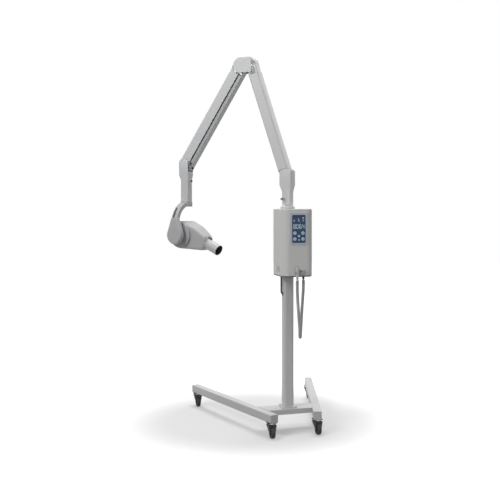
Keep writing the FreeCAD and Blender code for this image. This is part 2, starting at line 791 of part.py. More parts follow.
def pipe_stub(x, y, z0, z1):
    """Ribbed strain relief."""
    stub = rod(GLAND_R - 1.5, vec(x, y, z0), vec(x, y, z1))
    ribs = [rod(GLAND_R, vec(x, y, z0 + 1 + 4 * i), vec(x, y, z0 + 3 + 4 * i)) for i in range(3)]
    return stub.fuse(ribs)


def exposure_button():
    low = switch_top_z - 18 + BUTTON_TRAVEL + 1
    top = switch_top_z + BUTTON_RISE
    stem = rod(BUTTON_R, vec(SWITCH_X, switch_y, low), vec(SWITCH_X, switch_y, top))
    return stem.makeFillet(1.8, [e for e in stem.Edges if e.CenterOfMass.z > top - 0.01])


def cord_gland():
    x, y, z = CORD_ROUTE[-1]
    return pipe_stub(x, y, z, BOX_BOTTOM_Z)


def curly_cord():
    solid, radii, length = tube_path(CORD_ROUTE, CORD_R)
    print("curly cord radii", radii, "length", round(length, 1))
    print("volume against section times length", round(solid.Volume / (math.pi * CORD_R ** 2 * length), 4))
    return solid


def column_cable():
    """Short lead from the box's underside into the column's left wall."""
    turn = CABLE_ENTRY_Z + CABLE_BEND
    straight = rod(CABLE_R, vec(CABLE_X, CABLE_Y, turn), vec(CABLE_X, CABLE_Y, BOX_BOTTOM_Z + BASE_THICK + 8))
    section = Part.Face(Part.Wire([Part.Circle(vec(CABLE_X, CABLE_Y, turn), Z_AXIS, CABLE_R).toShape()]))
    bend = section.revolve(vec(CABLE_X - CABLE_BEND, CABLE_Y, turn), Y_AXIS, 90)
    tail_x = CABLE_X - CABLE_BEND
    tail = rod(CABLE_R, vec(tail_x - 4, CABLE_Y, CABLE_ENTRY_Z), vec(tail_x, CABLE_Y, CABLE_ENTRY_Z))
    return straight.fuse([bend, tail])


def cable_grommet():
    face = COLUMN_SIDE / 2
    body = rod(GROMMET_R - 0.1, vec(face - COLUMN_WALL, CABLE_Y, CABLE_ENTRY_Z), vec(face, CABLE_Y, CABLE_ENTRY_Z))
    lip = rod(GROMMET_R + 2, vec(face, CABLE_Y, CABLE_ENTRY_Z), vec(face + GROMMET_LIP, CABLE_Y, CABLE_ENTRY_Z))
    ring = body.fuse(lip)
    turn = CABLE_ENTRY_Z + CABLE_BEND
    section = Part.Face(Part.Wire([Part.Circle(vec(CABLE_X, CABLE_Y, turn), Z_AXIS, CABLE_R + FIT).toShape()]))
    bend = section.revolve(vec(CABLE_X - CABLE_BEND, CABLE_Y, turn), Y_AXIS, 90)
    return ring.cut([bend, rod(CABLE_R + FIT, vec(0, CABLE_Y, CABLE_ENTRY_Z),
                               vec(CABLE_X - CABLE_BEND, CABLE_Y, CABLE_ENTRY_Z))])


# Shoulder

def pin_bores(body, spots, blind_side):
    """Bores through the far cheek, blind in the near one, for pins along Y."""
    for radius, x, z in spots:
        far = -blind_side * (cheek_outer + 5)
        near = blind_side * (cheek_inner + CHEEK_BLIND)
        body = body.cut(along_y(radius + RUN, min(far, near), max(far, near), x, z))
    return body


def pin(radius, x, z):
    return along_y(radius, -cheek_outer + 0.5, cheek_inner + CHEEK_BLIND - 0.2, x, z)


def shoulder_knuckle():
    """Casting: swivel neck, flared body, and two cheeks around the rear arm's foot."""
    low = HEAD_FLANGE_TOP_Z + RACE_HEIGHT + FIT
    neck = square_bar(NECK_SIDE, NECK_ROUND, low, KNUCKLE_NECK_Z)
    wide = cheek_outer
    crown_low = SHOULDER_Z + KNUCKLE_FLOOR
    lower = closed_wire(rectangle(-NECK_SIDE / 2, NECK_SIDE / 2, -NECK_SIDE / 2, NECK_SIDE / 2, NECK_ROUND))
    upper = closed_wire(rectangle(KNUCKLE_BACK, KNUCKLE_FRONT, -wide, wide, NECK_ROUND))
    lower.translate(vec(0, 0, KNUCKLE_NECK_Z))
    upper.translate(vec(0, 0, crown_low))
    flare = Part.makeLoft([lower, upper], True, False)
    crown = plate(rectangle(KNUCKLE_BACK, KNUCKLE_FRONT, -wide, wide, NECK_ROUND), crown_low, SHOULDER_Z + KNUCKLE_TOP)
    lobe = along_y(KNUCKLE_TOP, -wide, wide, 0, SHOULDER_Z)
    skirt = block(-90, 90, -wide, wide, crown_low, SHOULDER_Z)
    crown = crown.common(lobe.fuse(skirt))
    throat = block(-90, 90, -cheek_inner, cheek_inner, crown_low + 6, 2000)
    body = neck.fuse([flare, crown]).cut(throat)
    body = body.cut(rod(SPIGOT_R + RUN, vec(0, 0, low - 1), vec(0, 0, HEAD_FLANGE_TOP_Z + SPIGOT_LENGTH + 2)))
    link = shoulder + rear_link_shift
    body = pin_bores(body, ((REAR_PIN_R, 0, SHOULDER_Z), (LINK_PIN_R, link.x, link.z)), 1)
    stud = rod(KNOB_STUD_R + RUN, vec(0, 0, LOCK_KNOB_Z), vec(0, 60, LOCK_KNOB_Z))
    return in_arm(body.cut(turned(stud, Z_AXIS, lock_heading)))


lock_heading = 90 - ARM_AZIMUTH - 90 - 17.4 - 40


def shoulder_pins():
    link = shoulder + rear_link_shift
    return in_arm(group([pin(REAR_PIN_R, 0, SHOULDER_Z), pin(LINK_PIN_R, link.x, link.z)]))


def knob(length, radius, stud_length):
    """Fluted knob on a stud, along +Y from the origin."""
    stud = along_y(KNOB_STUD_R, -stud_length, 2)
    grip = along_y(radius, 0, length)
    grip = grip.makeChamfer(1.2, [e for e in grip.Edges if e.BoundBox.YLength < 0.01])
    flutes = []
    for i in range(6):
        angle = math.radians(60 * i)
        x = (radius + 1.2) * math.cos(angle)
        z = (radius + 1.2) * math.sin(angle)
        flutes.append(along_y(2.4, 5, length + 1, x, z))
    return grip.cut(flutes).fuse(stud)


def swivel_lock_knob():
    piece = knob(KNOB_LENGTH, KNOB_R, 12)
    piece = moved(piece, vec(0, NECK_SIDE / 2 + 8.5, LOCK_KNOB_Z))
    return in_arm(turned(piece, Z_AXIS, lock_heading))


# Rear arm, in its own frame

rear_half = REAR_DEPTH / 2
arm_half = ARM_WIDTH / 2


def rear_section(inset, z0, z1):
    return plate(rectangle(-rear_half + inset, rear_half - inset, -arm_half + inset, arm_half - inset,
                           max(REAR_ROUND - inset, 1)), z0, z1)


def rear_arm_tube():
    tube = rear_section(0, END_START, ARM_LENGTH - END_START)
    return in_rear_arm(tube.cut(rear_section(REAR_WALL, 0, ARM_LENGTH)))


def rear_arm_end(flip):
    """Cast end: rounded shoulders, two lugs with the link's lane between them, spigot into the tube."""
    body = rear_section(0, REAR_LUG_R + 6, END_START)
    lug = along_y(REAR_LUG_R, -arm_half, arm_half).fuse(
        block(-REAR_LUG_R, REAR_LUG_R, -arm_half, arm_half, 0, REAR_LUG_R + 8))
    shoulders = along_y(rear_half + 6, -arm_half, arm_half)
    body = body.common(block(-60, 60, -60, 60, 0, 60))
    body = body.fuse(rear_section(0, 0, REAR_LUG_R + 6).common(shoulders).common(block(-60, 2, -60, 60, -60, 60)))
    spigot = rear_section(REAR_WALL + FIT, END_START, END_START + 30)
    body = body.fuse([lug, spigot])
    lane = block(REAR_PIN_R + 1.5, 60, -LINK_LANE / 2, LINK_LANE / 2, -60, END_START + 60)
    low_lane = block(4, 60, -60, 60, -60, REAR_LUG_R + 6)
    body = body.cut([lane, low_lane.cut(along_y(REAR_LUG_R, -60, 60))])
    body = body.cut(along_y(REAR_PIN_R + RUN, -60, 60))
    if flip:
        mirror = body.mirror(ORIGIN, Z_AXIS)
        body = moved(mirror, vec(0, 0, ARM_LENGTH))
    return body


def rear_arm_ends():
    return in_rear_arm(group([rear_arm_end(False), rear_arm_end(True)]))


def link_bar(section_solid, eye_r, eye_half, pin_r):
    """A link between two eyes ARM_LENGTH apart on the Z axis."""
    ends = [along_y(eye_r, -eye_half, eye_half, 0, z) for z in (0, ARM_LENGTH)]
    bar = section_solid.fuse(ends)
    for z in (0, ARM_LENGTH):
        bar = bar.cut(along_y(pin_r + RUN, -60, 60, 0, z))
    return bar


def rear_link():
    bar = link_bar(rod(REAR_LINK_R, vec(0, 0, 4), vec(0, 0, ARM_LENGTH - 4)), LINK_EYE_R, LINK_EYE_WIDTH / 2,
                   LINK_PIN_R)
    bar = turned(bar, Y_AXIS, REAR_TILT)
    return in_arm(moved(bar, shoulder + rear_link_shift))


# Elbow hub, in the arm plane

def elbow_hub():
    """Two cheeks joined by the top bridge."""
    x0 = elbow_rear.x + HUB_REAR
    cx = elbow_front.x
    cz = elbow_front.z
    outline = side_plate(
        ((x0, cz + HUB_BOTTOM, 6), (cx + HUB_CHIN, cz + HUB_BOTTOM, 12), (cx + HUB_FRONT, cz - HUB_CHIN_RISE, 18),
         (cx + HUB_FRONT, cz + HUB_TOP, HUB_ROUND), (x0, cz + HUB_TOP, 5)),
        -cheek_outer, cheek_outer)
    inside = block(x0 - 50, cx + 90, -cheek_inner, cheek_inner, cz - 60, cz + HUB_TOP - HUB_BRIDGE)
    mouth = block(cx + 8, cx + 90, -cheek_inner, cheek_inner, cz - 60, cz + 90)
    body = outline.cut([inside, mouth])
    rear_link_pin = elbow_rear + rear_link_shift
    fore_link_pin = elbow_front + fore_link_shift
    body = pin_bores(body, (
        (REAR_PIN_R, elbow_rear.x, elbow_rear.z), (LINK_PIN_R, rear_link_pin.x, rear_link_pin.z),
        (FORE_PIN_R, cx, cz), (LINK_PIN_R, fore_link_pin.x, fore_link_pin.z)), 1)
    return in_arm(body)


def elbow_pins():
    rear_link_pin = elbow_rear + rear_link_shift
    fore_link_pin = elbow_front + fore_link_shift
    return in_arm(group([
        pin(REAR_PIN_R, elbow_rear.x, elbow_rear.z), pin(LINK_PIN_R, rear_link_pin.x, rear_link_pin.z),
        pin(FORE_PIN_R, elbow_front.x, elbow_front.z), pin(LINK_PIN_R, fore_link_pin.x, fore_link_pin.z)]))


# Forearm, in its own frame: x to the underside

def forearm_cover():
    """Moulded top cover: a U open below, closed at both ends by walls curved about the pins."""
    wide = FORE_COVER_WIDTH / 2
    wall = FORE_COVER_WALL
    rounds = FORE_COVER_ROUND
    outer = plate(((FORE_OUTER, -wide, rounds), (FORE_SKIRT, -wide, 1), (FORE_SKIRT, wide, 1), (FORE_OUTER, wide, rounds)),
                  0, ARM_LENGTH)
    inner = plate(((FORE_OUTER + wall, -wide + wall, rounds - wall), (FORE_SKIRT + 5, -wide + wall),
                   (FORE_SKIRT + 5, wide - wall), (FORE_OUTER + wall, wide - wall, rounds - wall)), -5, ARM_LENGTH + 5)
    seams = [along_y(FORE_SEAM_R, -60, 60, 0, z) for z in (0, ARM_LENGTH)]
    walls = []
    for z in (0, ARM_LENGTH):
        arc = along_y(FORE_SEAM_R + wall, -wide + 1, wide - 1, 0, z)
        arc = arc.common(block(FORE_OUTER + 1, BEAM_HIGH - FIT, -60, 60, 0, ARM_LENGTH))
        walls.append(arc)
    body = outer.cut(inner).fuse(walls).cut(seams)
    return in_forearm(body)


def forearm_beam():
    half = BEAM_WIDTH / 2
    z0 = END_START + 6
    outer = plate(rectangle(BEAM_HIGH, BEAM_LOW, -half, half, 4), z0, ARM_LENGTH - z0)
    inner = plate(rectangle(BEAM_HIGH + BEAM_WALL, BEAM_LOW - BEAM_WALL, -half + BEAM_WALL, half - BEAM_WALL, 1.5),
                  0, ARM_LENGTH)
    return in_forearm(outer.cut(inner))


def forearm_end(flip):
    """Cast end: two lugs on the pin, a lane between them for the link's eye, spigot into the beam."""
    z0 = END_START + 6
    profile = (
        (FORE_LUG_R - 4, 0), (FORE_LUG_R - 4, 10, 8), (BEAM_LOW, 34, 12), (BEAM_LOW, z0), (BEAM_HIGH, z0),
        (BEAM_HIGH, 26, 14), (-FORE_LUG_R, 6, 10), (-FORE_LUG_R, 0),
    )
    neck = side_plate(profile, -arm_half, arm_half)
    rounding = FORE_COVER_ROUND - FORE_COVER_WALL + 1
    neck = neck.common(plate(rectangle(BEAM_HIGH, 80, -arm_half, arm_half, rounding), 0, z0))
    body = along_y(FORE_LUG_R, -arm_half, arm_half).fuse(neck)
    inset = BEAM_WALL + FIT
    half = BEAM_WIDTH / 2 - inset
    spigot = plate(rectangle(BEAM_HIGH + inset, BEAM_LOW - inset, -half, half, 2), z0, z0 + 28)
    lane = block(-2, 60, -LINK_LANE / 2, LINK_LANE / 2, -60, 60)
    body = body.fuse(spigot).cut([lane, along_y(FORE_PIN_R + RUN, -60, 60)])
    if flip:
        body = moved(body.mirror(ORIGIN, Z_AXIS), vec(0, 0, ARM_LENGTH))
    return body


def forearm_ends():
    return in_forearm(group([forearm_end(False), forearm_end(True)]))


def fore_link():
    """Folded channel between two narrow eyes; it keeps the front knuckle upright."""
    half = FORE_LINK_WIDTH / 2
    deep = FORE_LINK_HALF
    wall = FORE_LINK_WALL
    channel = plate(rectangle(-deep, deep, -half, half, 2), FORE_LINK_START, ARM_LENGTH - FORE_LINK_START)
    hollow = block(-deep - 5, deep - wall, -half + wall, half - wall, 0, ARM_LENGTH)
    tongue = LINK_EYE_WIDTH / 2
    tab = block(-LINK_TAB, deep - wall, -tongue, tongue, 0, ARM_LENGTH)
    tab = tab.cut(block(-60, 60, -60, 60, FORE_LINK_START + 30, ARM_LENGTH - FORE_LINK_START - 30))
    tab = tab.cut([block(LINK_EYE_R, 60, -60, 60, -60, 12),
                   block(LINK_EYE_R, 60, -60, 60, ARM_LENGTH - 12, ARM_LENGTH + 60)])
    bar = link_bar(channel.cut(hollow).fuse(tab), LINK_EYE_R, tongue, LINK_PIN_R)
    bar = turned(bar, Y_AXIS, 180 - FORE_TILT)
    return in_arm(moved(bar, elbow_front + fore_link_shift))


# Front knuckle, in the arm plane

def front_knuckle():
    """Casting: two cheeks around the forearm's end, tapering into the square drop tube."""
    cx = wrist.x
    cz = wrist.z
    wide = cheek_outer
    low = YOKE_TOP_Z + FIT
    half = FRONT_TUBE / 2
    tube = moved(square_bar(FRONT_TUBE, FRONT_ROUND, low, cz + FRONT_FLOOR - 26), vec(cx, 0, 0))
    lower = closed_wire(rectangle(cx - half, cx + half, -half, half, FRONT_ROUND))
    upper = closed_wire(rectangle(cx + FRONT_RIGHT, cx + FRONT_LEFT, -wide, wide, FRONT_ROUND))
    lower.translate(vec(0, 0, cz + FRONT_FLOOR - 26))
    upper.translate(vec(0, 0, cz + FRONT_FLOOR))
    flare = Part.makeLoft([lower, upper], True, False)
    crown = plate(rectangle(cx + FRONT_RIGHT, cx + FRONT_LEFT, -wide, wide, FRONT_ROUND), cz + FRONT_FLOOR,
                  cz + FRONT_TOP)
    lobe = along_y(FORE_SEAM_R - 1, -wide, wide, cx, cz)
    skirt = block(cx - 90, cx + 90, -wide, wide, cz + FRONT_FLOOR, cz)
    crown = crown.common(lobe.fuse(skirt))
    throat = block(cx - 90, cx + 90, -cheek_inner, cheek_inner, cz + FRONT_FLOOR + 5, cz + 200)
    body = tube.fuse([flare, crown]).cut(throat)
    body = body.cut(rod(STEM_R + RUN, vec(cx, 0, 0), vec(cx, 0, YOKE_TOP_Z + STEM_LENGTH + 2)))
    link = wrist + fore_link_shift
    body = pin_bores(body, ((FORE_PIN_R, cx, cz), (LINK_PIN_R, link.x, link.z)), 1)
    body = body.cut(rod(KNOB_STUD_R + RUN, vec(cx - 60, 0, BRAKE_KNOB_Z), vec(cx, 0, BRAKE_KNOB_Z)))
    return in_arm(body)


def front_pins():
    link = wrist + fore_link_shift
    return in_arm(group([pin(FORE_PIN_R, wrist.x, wrist.z), pin(LINK_PIN_R, link.x, link.z)]))


def brake_knob():
    piece = turned(knob(8, 6.0, 10), Z_AXIS, 90)
    return in_arm(moved(piece, vec(wrist.x - FRONT_TUBE / 2 - 3.5, 0, BRAKE_KNOB_Z)))


# Yoke: x along the beam's heading, -y to the side that carries the head

def yoke_arm():
    """Swan-necked casting from the swivel hub round to the tilt disc."""
    top = YOKE_TOP_Z - tilt_axis_z
    half = YOKE_SIDE / 2
    hub = square_bar(YOKE_SIDE, NECK_ROUND, YOKE_HUB_LOW, top)
    shoulder_in = half - 6
    sweep = Part.Wire([
        Part.LineSegment(vec(0, 0, YOKE_HUB_LOW), vec(0, 0, top - 3)).toShape(),
        Part.LineSegment(vec(0, 0, top - 3), vec(0, -half, top - 3)).toShape(),
        Part.Arc(vec(0, -half, top - 3), vec(0, -88, 136), vec(0, -YOKE_OUTER, 66)).toShape(),
        Part.LineSegment(vec(0, -YOKE_OUTER, 66), vec(0, -YOKE_OUTER, 0)).toShape(),
        Part.LineSegment(vec(0, -YOKE_OUTER, 0), vec(0, -YOKE_INNER, 0)).toShape(),
        Part.LineSegment(vec(0, -YOKE_INNER, 0), vec(0, -YOKE_INNER, 62)).toShape(),
        Part.Arc(vec(0, -YOKE_INNER, 62), vec(0, -67, 125), vec(0, -shoulder_in, YOKE_HUB_LOW)).toShape(),
        Part.LineSegment(vec(0, -shoulder_in, YOKE_HUB_LOW), vec(0, 0, YOKE_HUB_LOW)).toShape(),
    ])
    wide = YOKE_WIDTH / 2
    neck = moved(Part.Face(sweep), vec(-wide, 0, 0)).extrude(vec(2 * wide, 0, 0))
    long_edges = [e for e in neck.Edges if abs(abs(e.CenterOfMass.x) - wide) < 0.01 and e.CenterOfMass.y < -half]
    neck = neck.makeFillet(YOKE_EDGE, long_edges)
    disc = along_y(YOKE_DISC_R, -YOKE_OUTER, -YOKE_INNER)
    disc = disc.makeFillet(YOKE_EDGE, [e for e in disc.Edges if e.BoundBox.YLength < 0.01])
    stem = rod(STEM_R, vec(0, 0, top - 5), vec(0, 0, top + STEM_LENGTH))
    slot = block(-10, -3, -8, 8, -30, 30)
    slot = turned(slot, X_AXIS, -36)
    slot = moved(slot, vec(0, -90, 128))
    bore = along_y(TILT_SHAFT_R + RUN, -YOKE_OUTER - 5, -YOKE_INNER + 5)
    return in_yoke(hub.fuse([neck, disc, stem]).cut([slot, bore]))


def tilt_cap():
    disc = along_y(CAP_R, -YOKE_OUTER - CAP_THICK, -YOKE_OUTER)
    disc = disc.makeFillet(2.5, [e for e in disc.Edges if abs(e.CenterOfMass.y + YOKE_OUTER + CAP_THICK) < 0.01])
    return in_yoke(disc)


def tilt_shaft():
    """Shaft fixed to the head; it turns in the yoke's disc."""
    return in_head(along_y(TILT_SHAFT_R, -YOKE_OUTER + 1, -DRUM_HALF))


# Tube head

def nose_tangent():
    """Where a line from the nose's low corner touches the drum's underside."""
    reach = math.hypot(NOSE_LENGTH - 8, NOSE_LOW)
    lean = math.atan2(NOSE_LOW, NOSE_LENGTH - 8)
    angle = lean - math.acos(DRUM_R / reach)
    return DRUM_R * math.cos(angle), DRUM_R * math.sin(angle)


def head_form(inset):
    """Round-shouldered drum with a tangential nose, its sides drawn in towards the beam."""
    radius = DRUM_R - inset
    wide = DRUM_HALF - inset
    edge = HEAD_EDGE - inset
    drum = Part.Face(closed_wire(((0, -wide), (radius, -wide, edge), (radius, wide, edge), (0, wide))))
    drum = drum.revolve(ORIGIN, Y_AXIS, 360)
    tip = NOSE_LENGTH - inset
    low = NOSE_LOW + inset
    touch_x, touch_z = nose_tangent()
    scale = radius / DRUM_R
    outline = ((0, radius), (tip, radius, NOSE_ROUND - inset), (tip, low, NOSE_LOW_ROUND - inset),
               (touch_x * scale, touch_z * scale), (0, 0))
    nose = side_plate(outline, -wide, wide)
    slim = NOSE_HALF - inset
    taper = plate(((-1, -wide), (TAPER_START, -wide, 60), (tip + 1, -slim), (tip + 1, slim),
                   (TAPER_START, wide, 60), (-1, wide)), -200, 200)
    nose = nose.common(taper)
    rims = [e for e in nose.Edges if abs(e.CenterOfMass.y) > slim - 0.5 and on_rim(e, radius)]
    nose = nose.makeFillet(edge, rims).Solids[0]
    return nose.fuse(drum, JOIN)


def on_rim(edge, radius):
    """True for the nose's outer side edges, not for those inside the drum."""
    spot = edge.CenterOfMass
    return math.hypot(spot.x, spot.z) > radius - 1.0 and edge.BoundBox.XLength + edge.BoundBox.ZLength > 0.01


def head_shell_solid():
    bore = rod(CONE_R - 4, vec(NOSE_LENGTH - 40, 0, BEAM_RISE), vec(NOSE_LENGTH + 20, 0, BEAM_RISE))
    return head_form(0).cut([head_form(HEAD_WALL), bore])


def head_halves():
    shell = head_shell_solid()
    near = shell.common(block(-300, 300, -300, HEAD_SPLIT, -300, 300))
    far = shell.common(block(-300, 300, HEAD_SPLIT, 300, -300, 300))
    return in_head(near), in_head(far)


def head_side_ring():
    ring = along_y(RING_OUTER, -DRUM_HALF - RING_THICK, -DRUM_HALF)
    ring = ring.cut(along_y(RING_INNER, -DRUM_HALF - RING_THICK - 1, -DRUM_HALF + 1))
    rims = [e for e in ring.Edges if abs(e.CenterOfMass.y + DRUM_HALF + RING_THICK) < 0.01]
    return ring.makeFillet(2.5, rims)


def xray_tube():
    """Glass insert with its anode stem, behind the beam port."""
    glass = along_y(22, -30, 30, 40, BEAM_RISE)
    rims = [e for e in glass.Edges if e.BoundBox.YLength < 0.01]
    glass = glass.makeFillet(12, rims)
    stem = along_y(8, -DRUM_HALF + HEAD_WALL, -28, 40, BEAM_RISE)
    return in_head(glass.fuse(stem))


def hv_transformer():
    body = block(-46, 6, -40, 32, -50, 34)
    body = body.makeFillet(5, [e for e in body.Edges if e.BoundBox.YLength > 50])
    foot = block(-40, 0, -DRUM_HALF + HEAD_WALL, -40, -40, 24)
    return in_head(body.fuse(foot))


def cone_collar():
    """Threaded mounting ring of the cone on the nose face."""
    start = NOSE_LENGTH
    ring = pipe(COLLAR_R, CONE_R - CONE_WALL - 4, vec(start, 0, BEAM_RISE), vec(start + COLLAR_THICK, 0, BEAM_RISE))
    rims = [e for e in ring.Edges if e.CenterOfMass.x > start + COLLAR_THICK - 0.01
            and e.BoundBox.YLength > 2 * COLLAR_R - 1]
    return in_head(ring.makeFillet(2, rims))


def cone():
    start = NOSE_LENGTH + COLLAR_THICK
    tube = pipe(CONE_R, CONE_R - CONE_WALL, vec(start, 0, BEAM_RISE), vec(CONE_LENGTH, 0, BEAM_RISE))
    return in_head(tube)


def cone_lamp():
    start = NOSE_LENGTH
    stud = rod(LAMP_R, vec(start, 0, LAMP_RISE), vec(start + LAMP_LENGTH, 0, LAMP_RISE))
    return in_head(stud.makeFillet(1.5, [stud.Edges[0]]))


def main():
    os.makedirs("parts", exist_ok=True)
    near_shell, far_shell = head_halves()
    sites = caster_sites()
    nodes = {
        "legs": group([leg(1), leg(-1)]),
        "leg_end_caps": group([leg_end_cap(side, front) for side in (1, -1) for front in (True, False)]),
        "crossbar": crossbar(),
        "caster_plates": group([moved(caster_plate(), vec(x, y, 0)) for _, x, y in sites]),
        "caster_races": group([moved(caster_race(), vec(x, y, 0)) for _, x, y in sites]),
        "column_foot": column_foot(),
        "foot_bolts": foot_bolts(),
        "column": column(),
        "column_head": column_head(),
        "collar_ring": collar_ring(),
        "box_shell": box_shell(),
        "box_back": box_back(),
        "box_bottom": box_bottom(),
        "box_straps": box_straps(),
        "power_unit": group([*power_transformer(), control_board()]),
        "panel_bezel": panel_bezel(),
        "panel_membrane": panel_membrane(),
        "panel_display": panel_display(),
        "panel_keys": panel_keys(),
        "switch_holder": switch_holder(),
        "hand_switch": hand_switch(),
        "exposure_button": exposure_button(),
        "cord_gland": cord_gland(),
        "curly_cord": curly_cord(),
        "column_cable": column_cable(),
        "cable_grommet": cable_grommet(),
        "shoulder_knuckle": shoulder_knuckle(),
        "shoulder_pins": shoulder_pins(),
        "swivel_lock_knob": swivel_lock_knob(),
        "rear_arm_tube": rear_arm_tube(),
        "rear_arm_ends": rear_arm_ends(),
        "rear_link": rear_link(),
        "elbow_hub": elbow_hub(),
        "elbow_pins": elbow_pins(),
        "forearm_cover": forearm_cover(),
        "forearm_beam": forearm_beam(),
        "forearm_ends": forearm_ends(),
        "fore_link": fore_link(),
        "front_knuckle": front_knuckle(),
        "front_pins": front_pins(),
        "brake_knob": brake_knob(),
        "yoke_arm": yoke_arm(),
        "tilt_cap": tilt_cap(),
        "tilt_shaft": tilt_shaft(),
        "head_shell": near_shell,
        "head_cover": far_shell,
        "head_side_ring": in_head(head_side_ring()),
        "tube_insert": group([xray_tube(), hv_transformer()]),
        "cone_collar": cone_collar(),
        "cone": cone(),
        "cone_lamp": cone_lamp(),
    }
    for name, x, y in sites:
        nodes["caster_fork_" + name] = moved(caster_fork(), vec(x, y, 0))
        nodes["caster_wheel_" + name] = moved(wheel(), vec(x, y, 0))
    whole = FreeCAD.BoundBox()
    for name, shape in nodes.items():
        if name != "curly_cord":
            box = shape.optimalBoundingBox(False)
            whole.add(box)
    shift = vec(-whole.Center.x, -whole.Center.y, -whole.ZMin)
    print("column axis lies at", round(shift.x, 3), round(shift.y, 3), "floor at", round(shift.z, 3))
    for name, shape in nodes.items():
        moved(shape, shift).exportStep("parts/" + name + ".step")
        good = "ok" if shape.isValid() else "INVALID"
        print(name, good, len(shape.Solids), round(shape.Volume / 1000, 1))


main()
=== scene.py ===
import math

import bmesh
import bpy
from mathutils import Matrix, Vector


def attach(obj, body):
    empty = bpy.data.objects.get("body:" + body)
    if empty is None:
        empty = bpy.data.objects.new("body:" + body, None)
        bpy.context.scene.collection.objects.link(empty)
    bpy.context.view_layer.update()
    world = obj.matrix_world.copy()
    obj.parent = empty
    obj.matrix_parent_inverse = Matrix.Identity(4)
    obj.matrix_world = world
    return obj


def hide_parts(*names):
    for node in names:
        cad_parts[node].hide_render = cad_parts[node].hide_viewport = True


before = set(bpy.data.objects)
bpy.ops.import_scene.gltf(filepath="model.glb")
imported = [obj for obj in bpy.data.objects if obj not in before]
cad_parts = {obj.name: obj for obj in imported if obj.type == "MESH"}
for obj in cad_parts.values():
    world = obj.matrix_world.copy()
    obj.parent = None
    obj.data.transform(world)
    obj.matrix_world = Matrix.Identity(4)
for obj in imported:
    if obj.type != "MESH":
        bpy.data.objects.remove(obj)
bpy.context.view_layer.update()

# Studio
# A white floor and backdrop, a large lamp high on the camera's left, a wider one overhead and two weak fill lamps.
# The camera stands behind the unit, a little to its left, where the control panel faces it.

column_axis = Vector((-0.106688, 0.271124, 0.0))


def place(x, y, z):
    """A point given in millimetres from the foot of the column's axis."""
    return column_axis + Vector((x, y, z)) / 1000


def add_object(name, data):
    piece = bpy.data.objects.new(name, data)
    bpy.context.scene.collection.objects.link(piece)
    return piece


def shaped(name, form):
    """Object with the mesh of a finished form, which is used up."""
    mesh = bpy.data.meshes.new(name)
    form.to_mesh(mesh)
    form.free()
    return add_object(name, mesh)


def aim(piece, target):
    piece.rotation_mode = "QUATERNION"
    piece.rotation_quaternion = (target - piece.location).to_track_quat("-Z", "Y")


camera = add_object("camera", bpy.data.cameras.new("camera"))
camera.data.sensor_width = 36.0
camera.data.lens = 60.98
camera.data.shift_x = -0.0754
camera.data.shift_y = -0.0887
camera.data.clip_end = 60.0
camera.location = place(1386.6, 4430.6, 1219.8)
aim(camera, camera.location + Vector((-0.2987, -0.9543, 0.002)))
bpy.context.scene.camera = camera


def area_lamp(name, spot, target, size, power):
    lamp = bpy.data.lights.new(name, "AREA")
    lamp.shape = "DISK"
    lamp.size = size
    lamp.energy = power
    piece = add_object(name, lamp)
    piece.location = place(*spot)
    aim(piece, place(*target))
    return piece


area_lamp("lamp_key", (3200, 1500, 3300), (100, 0, 1300), 1.8, 60)
area_lamp("lamp_top", (-100, -700, 4300), (100, -150, 300), 2.6, 92)
area_lamp("lamp_fill", (600, 4200, 1400), (100, 0, 1000), 2.0, 22)
area_lamp("lamp_rim", (-2600, -1600, 2600), (0, 0, 1100), 1.6, 8)


def node(tree, kind, spot=(0, 0), **values):
    made = tree.nodes.new(kind)
    made.location = spot
    for key, value in values.items():
        setattr(made, key, value)
    return made


def eye_mask(tree, spot):
    """1 for camera, mirror and glass rays, 0 for the rays that carry light to other surfaces."""
    path = node(tree, "ShaderNodeLightPath", spot)
    either = node(tree, "ShaderNodeMath", (spot[0] + 200, spot[1]), operation="MAXIMUM")
    seen = node(tree, "ShaderNodeMath", (spot[0] + 400, spot[1]), operation="MAXIMUM")
    tree.links.new(path.outputs["Is Camera Ray"], either.inputs[0])
    tree.links.new(path.outputs["Is Glossy Ray"], either.inputs[1])
    tree.links.new(either.outputs[0], seen.inputs[0])
    tree.links.new(path.outputs["Is Transmission Ray"], seen.inputs[1])
    return seen


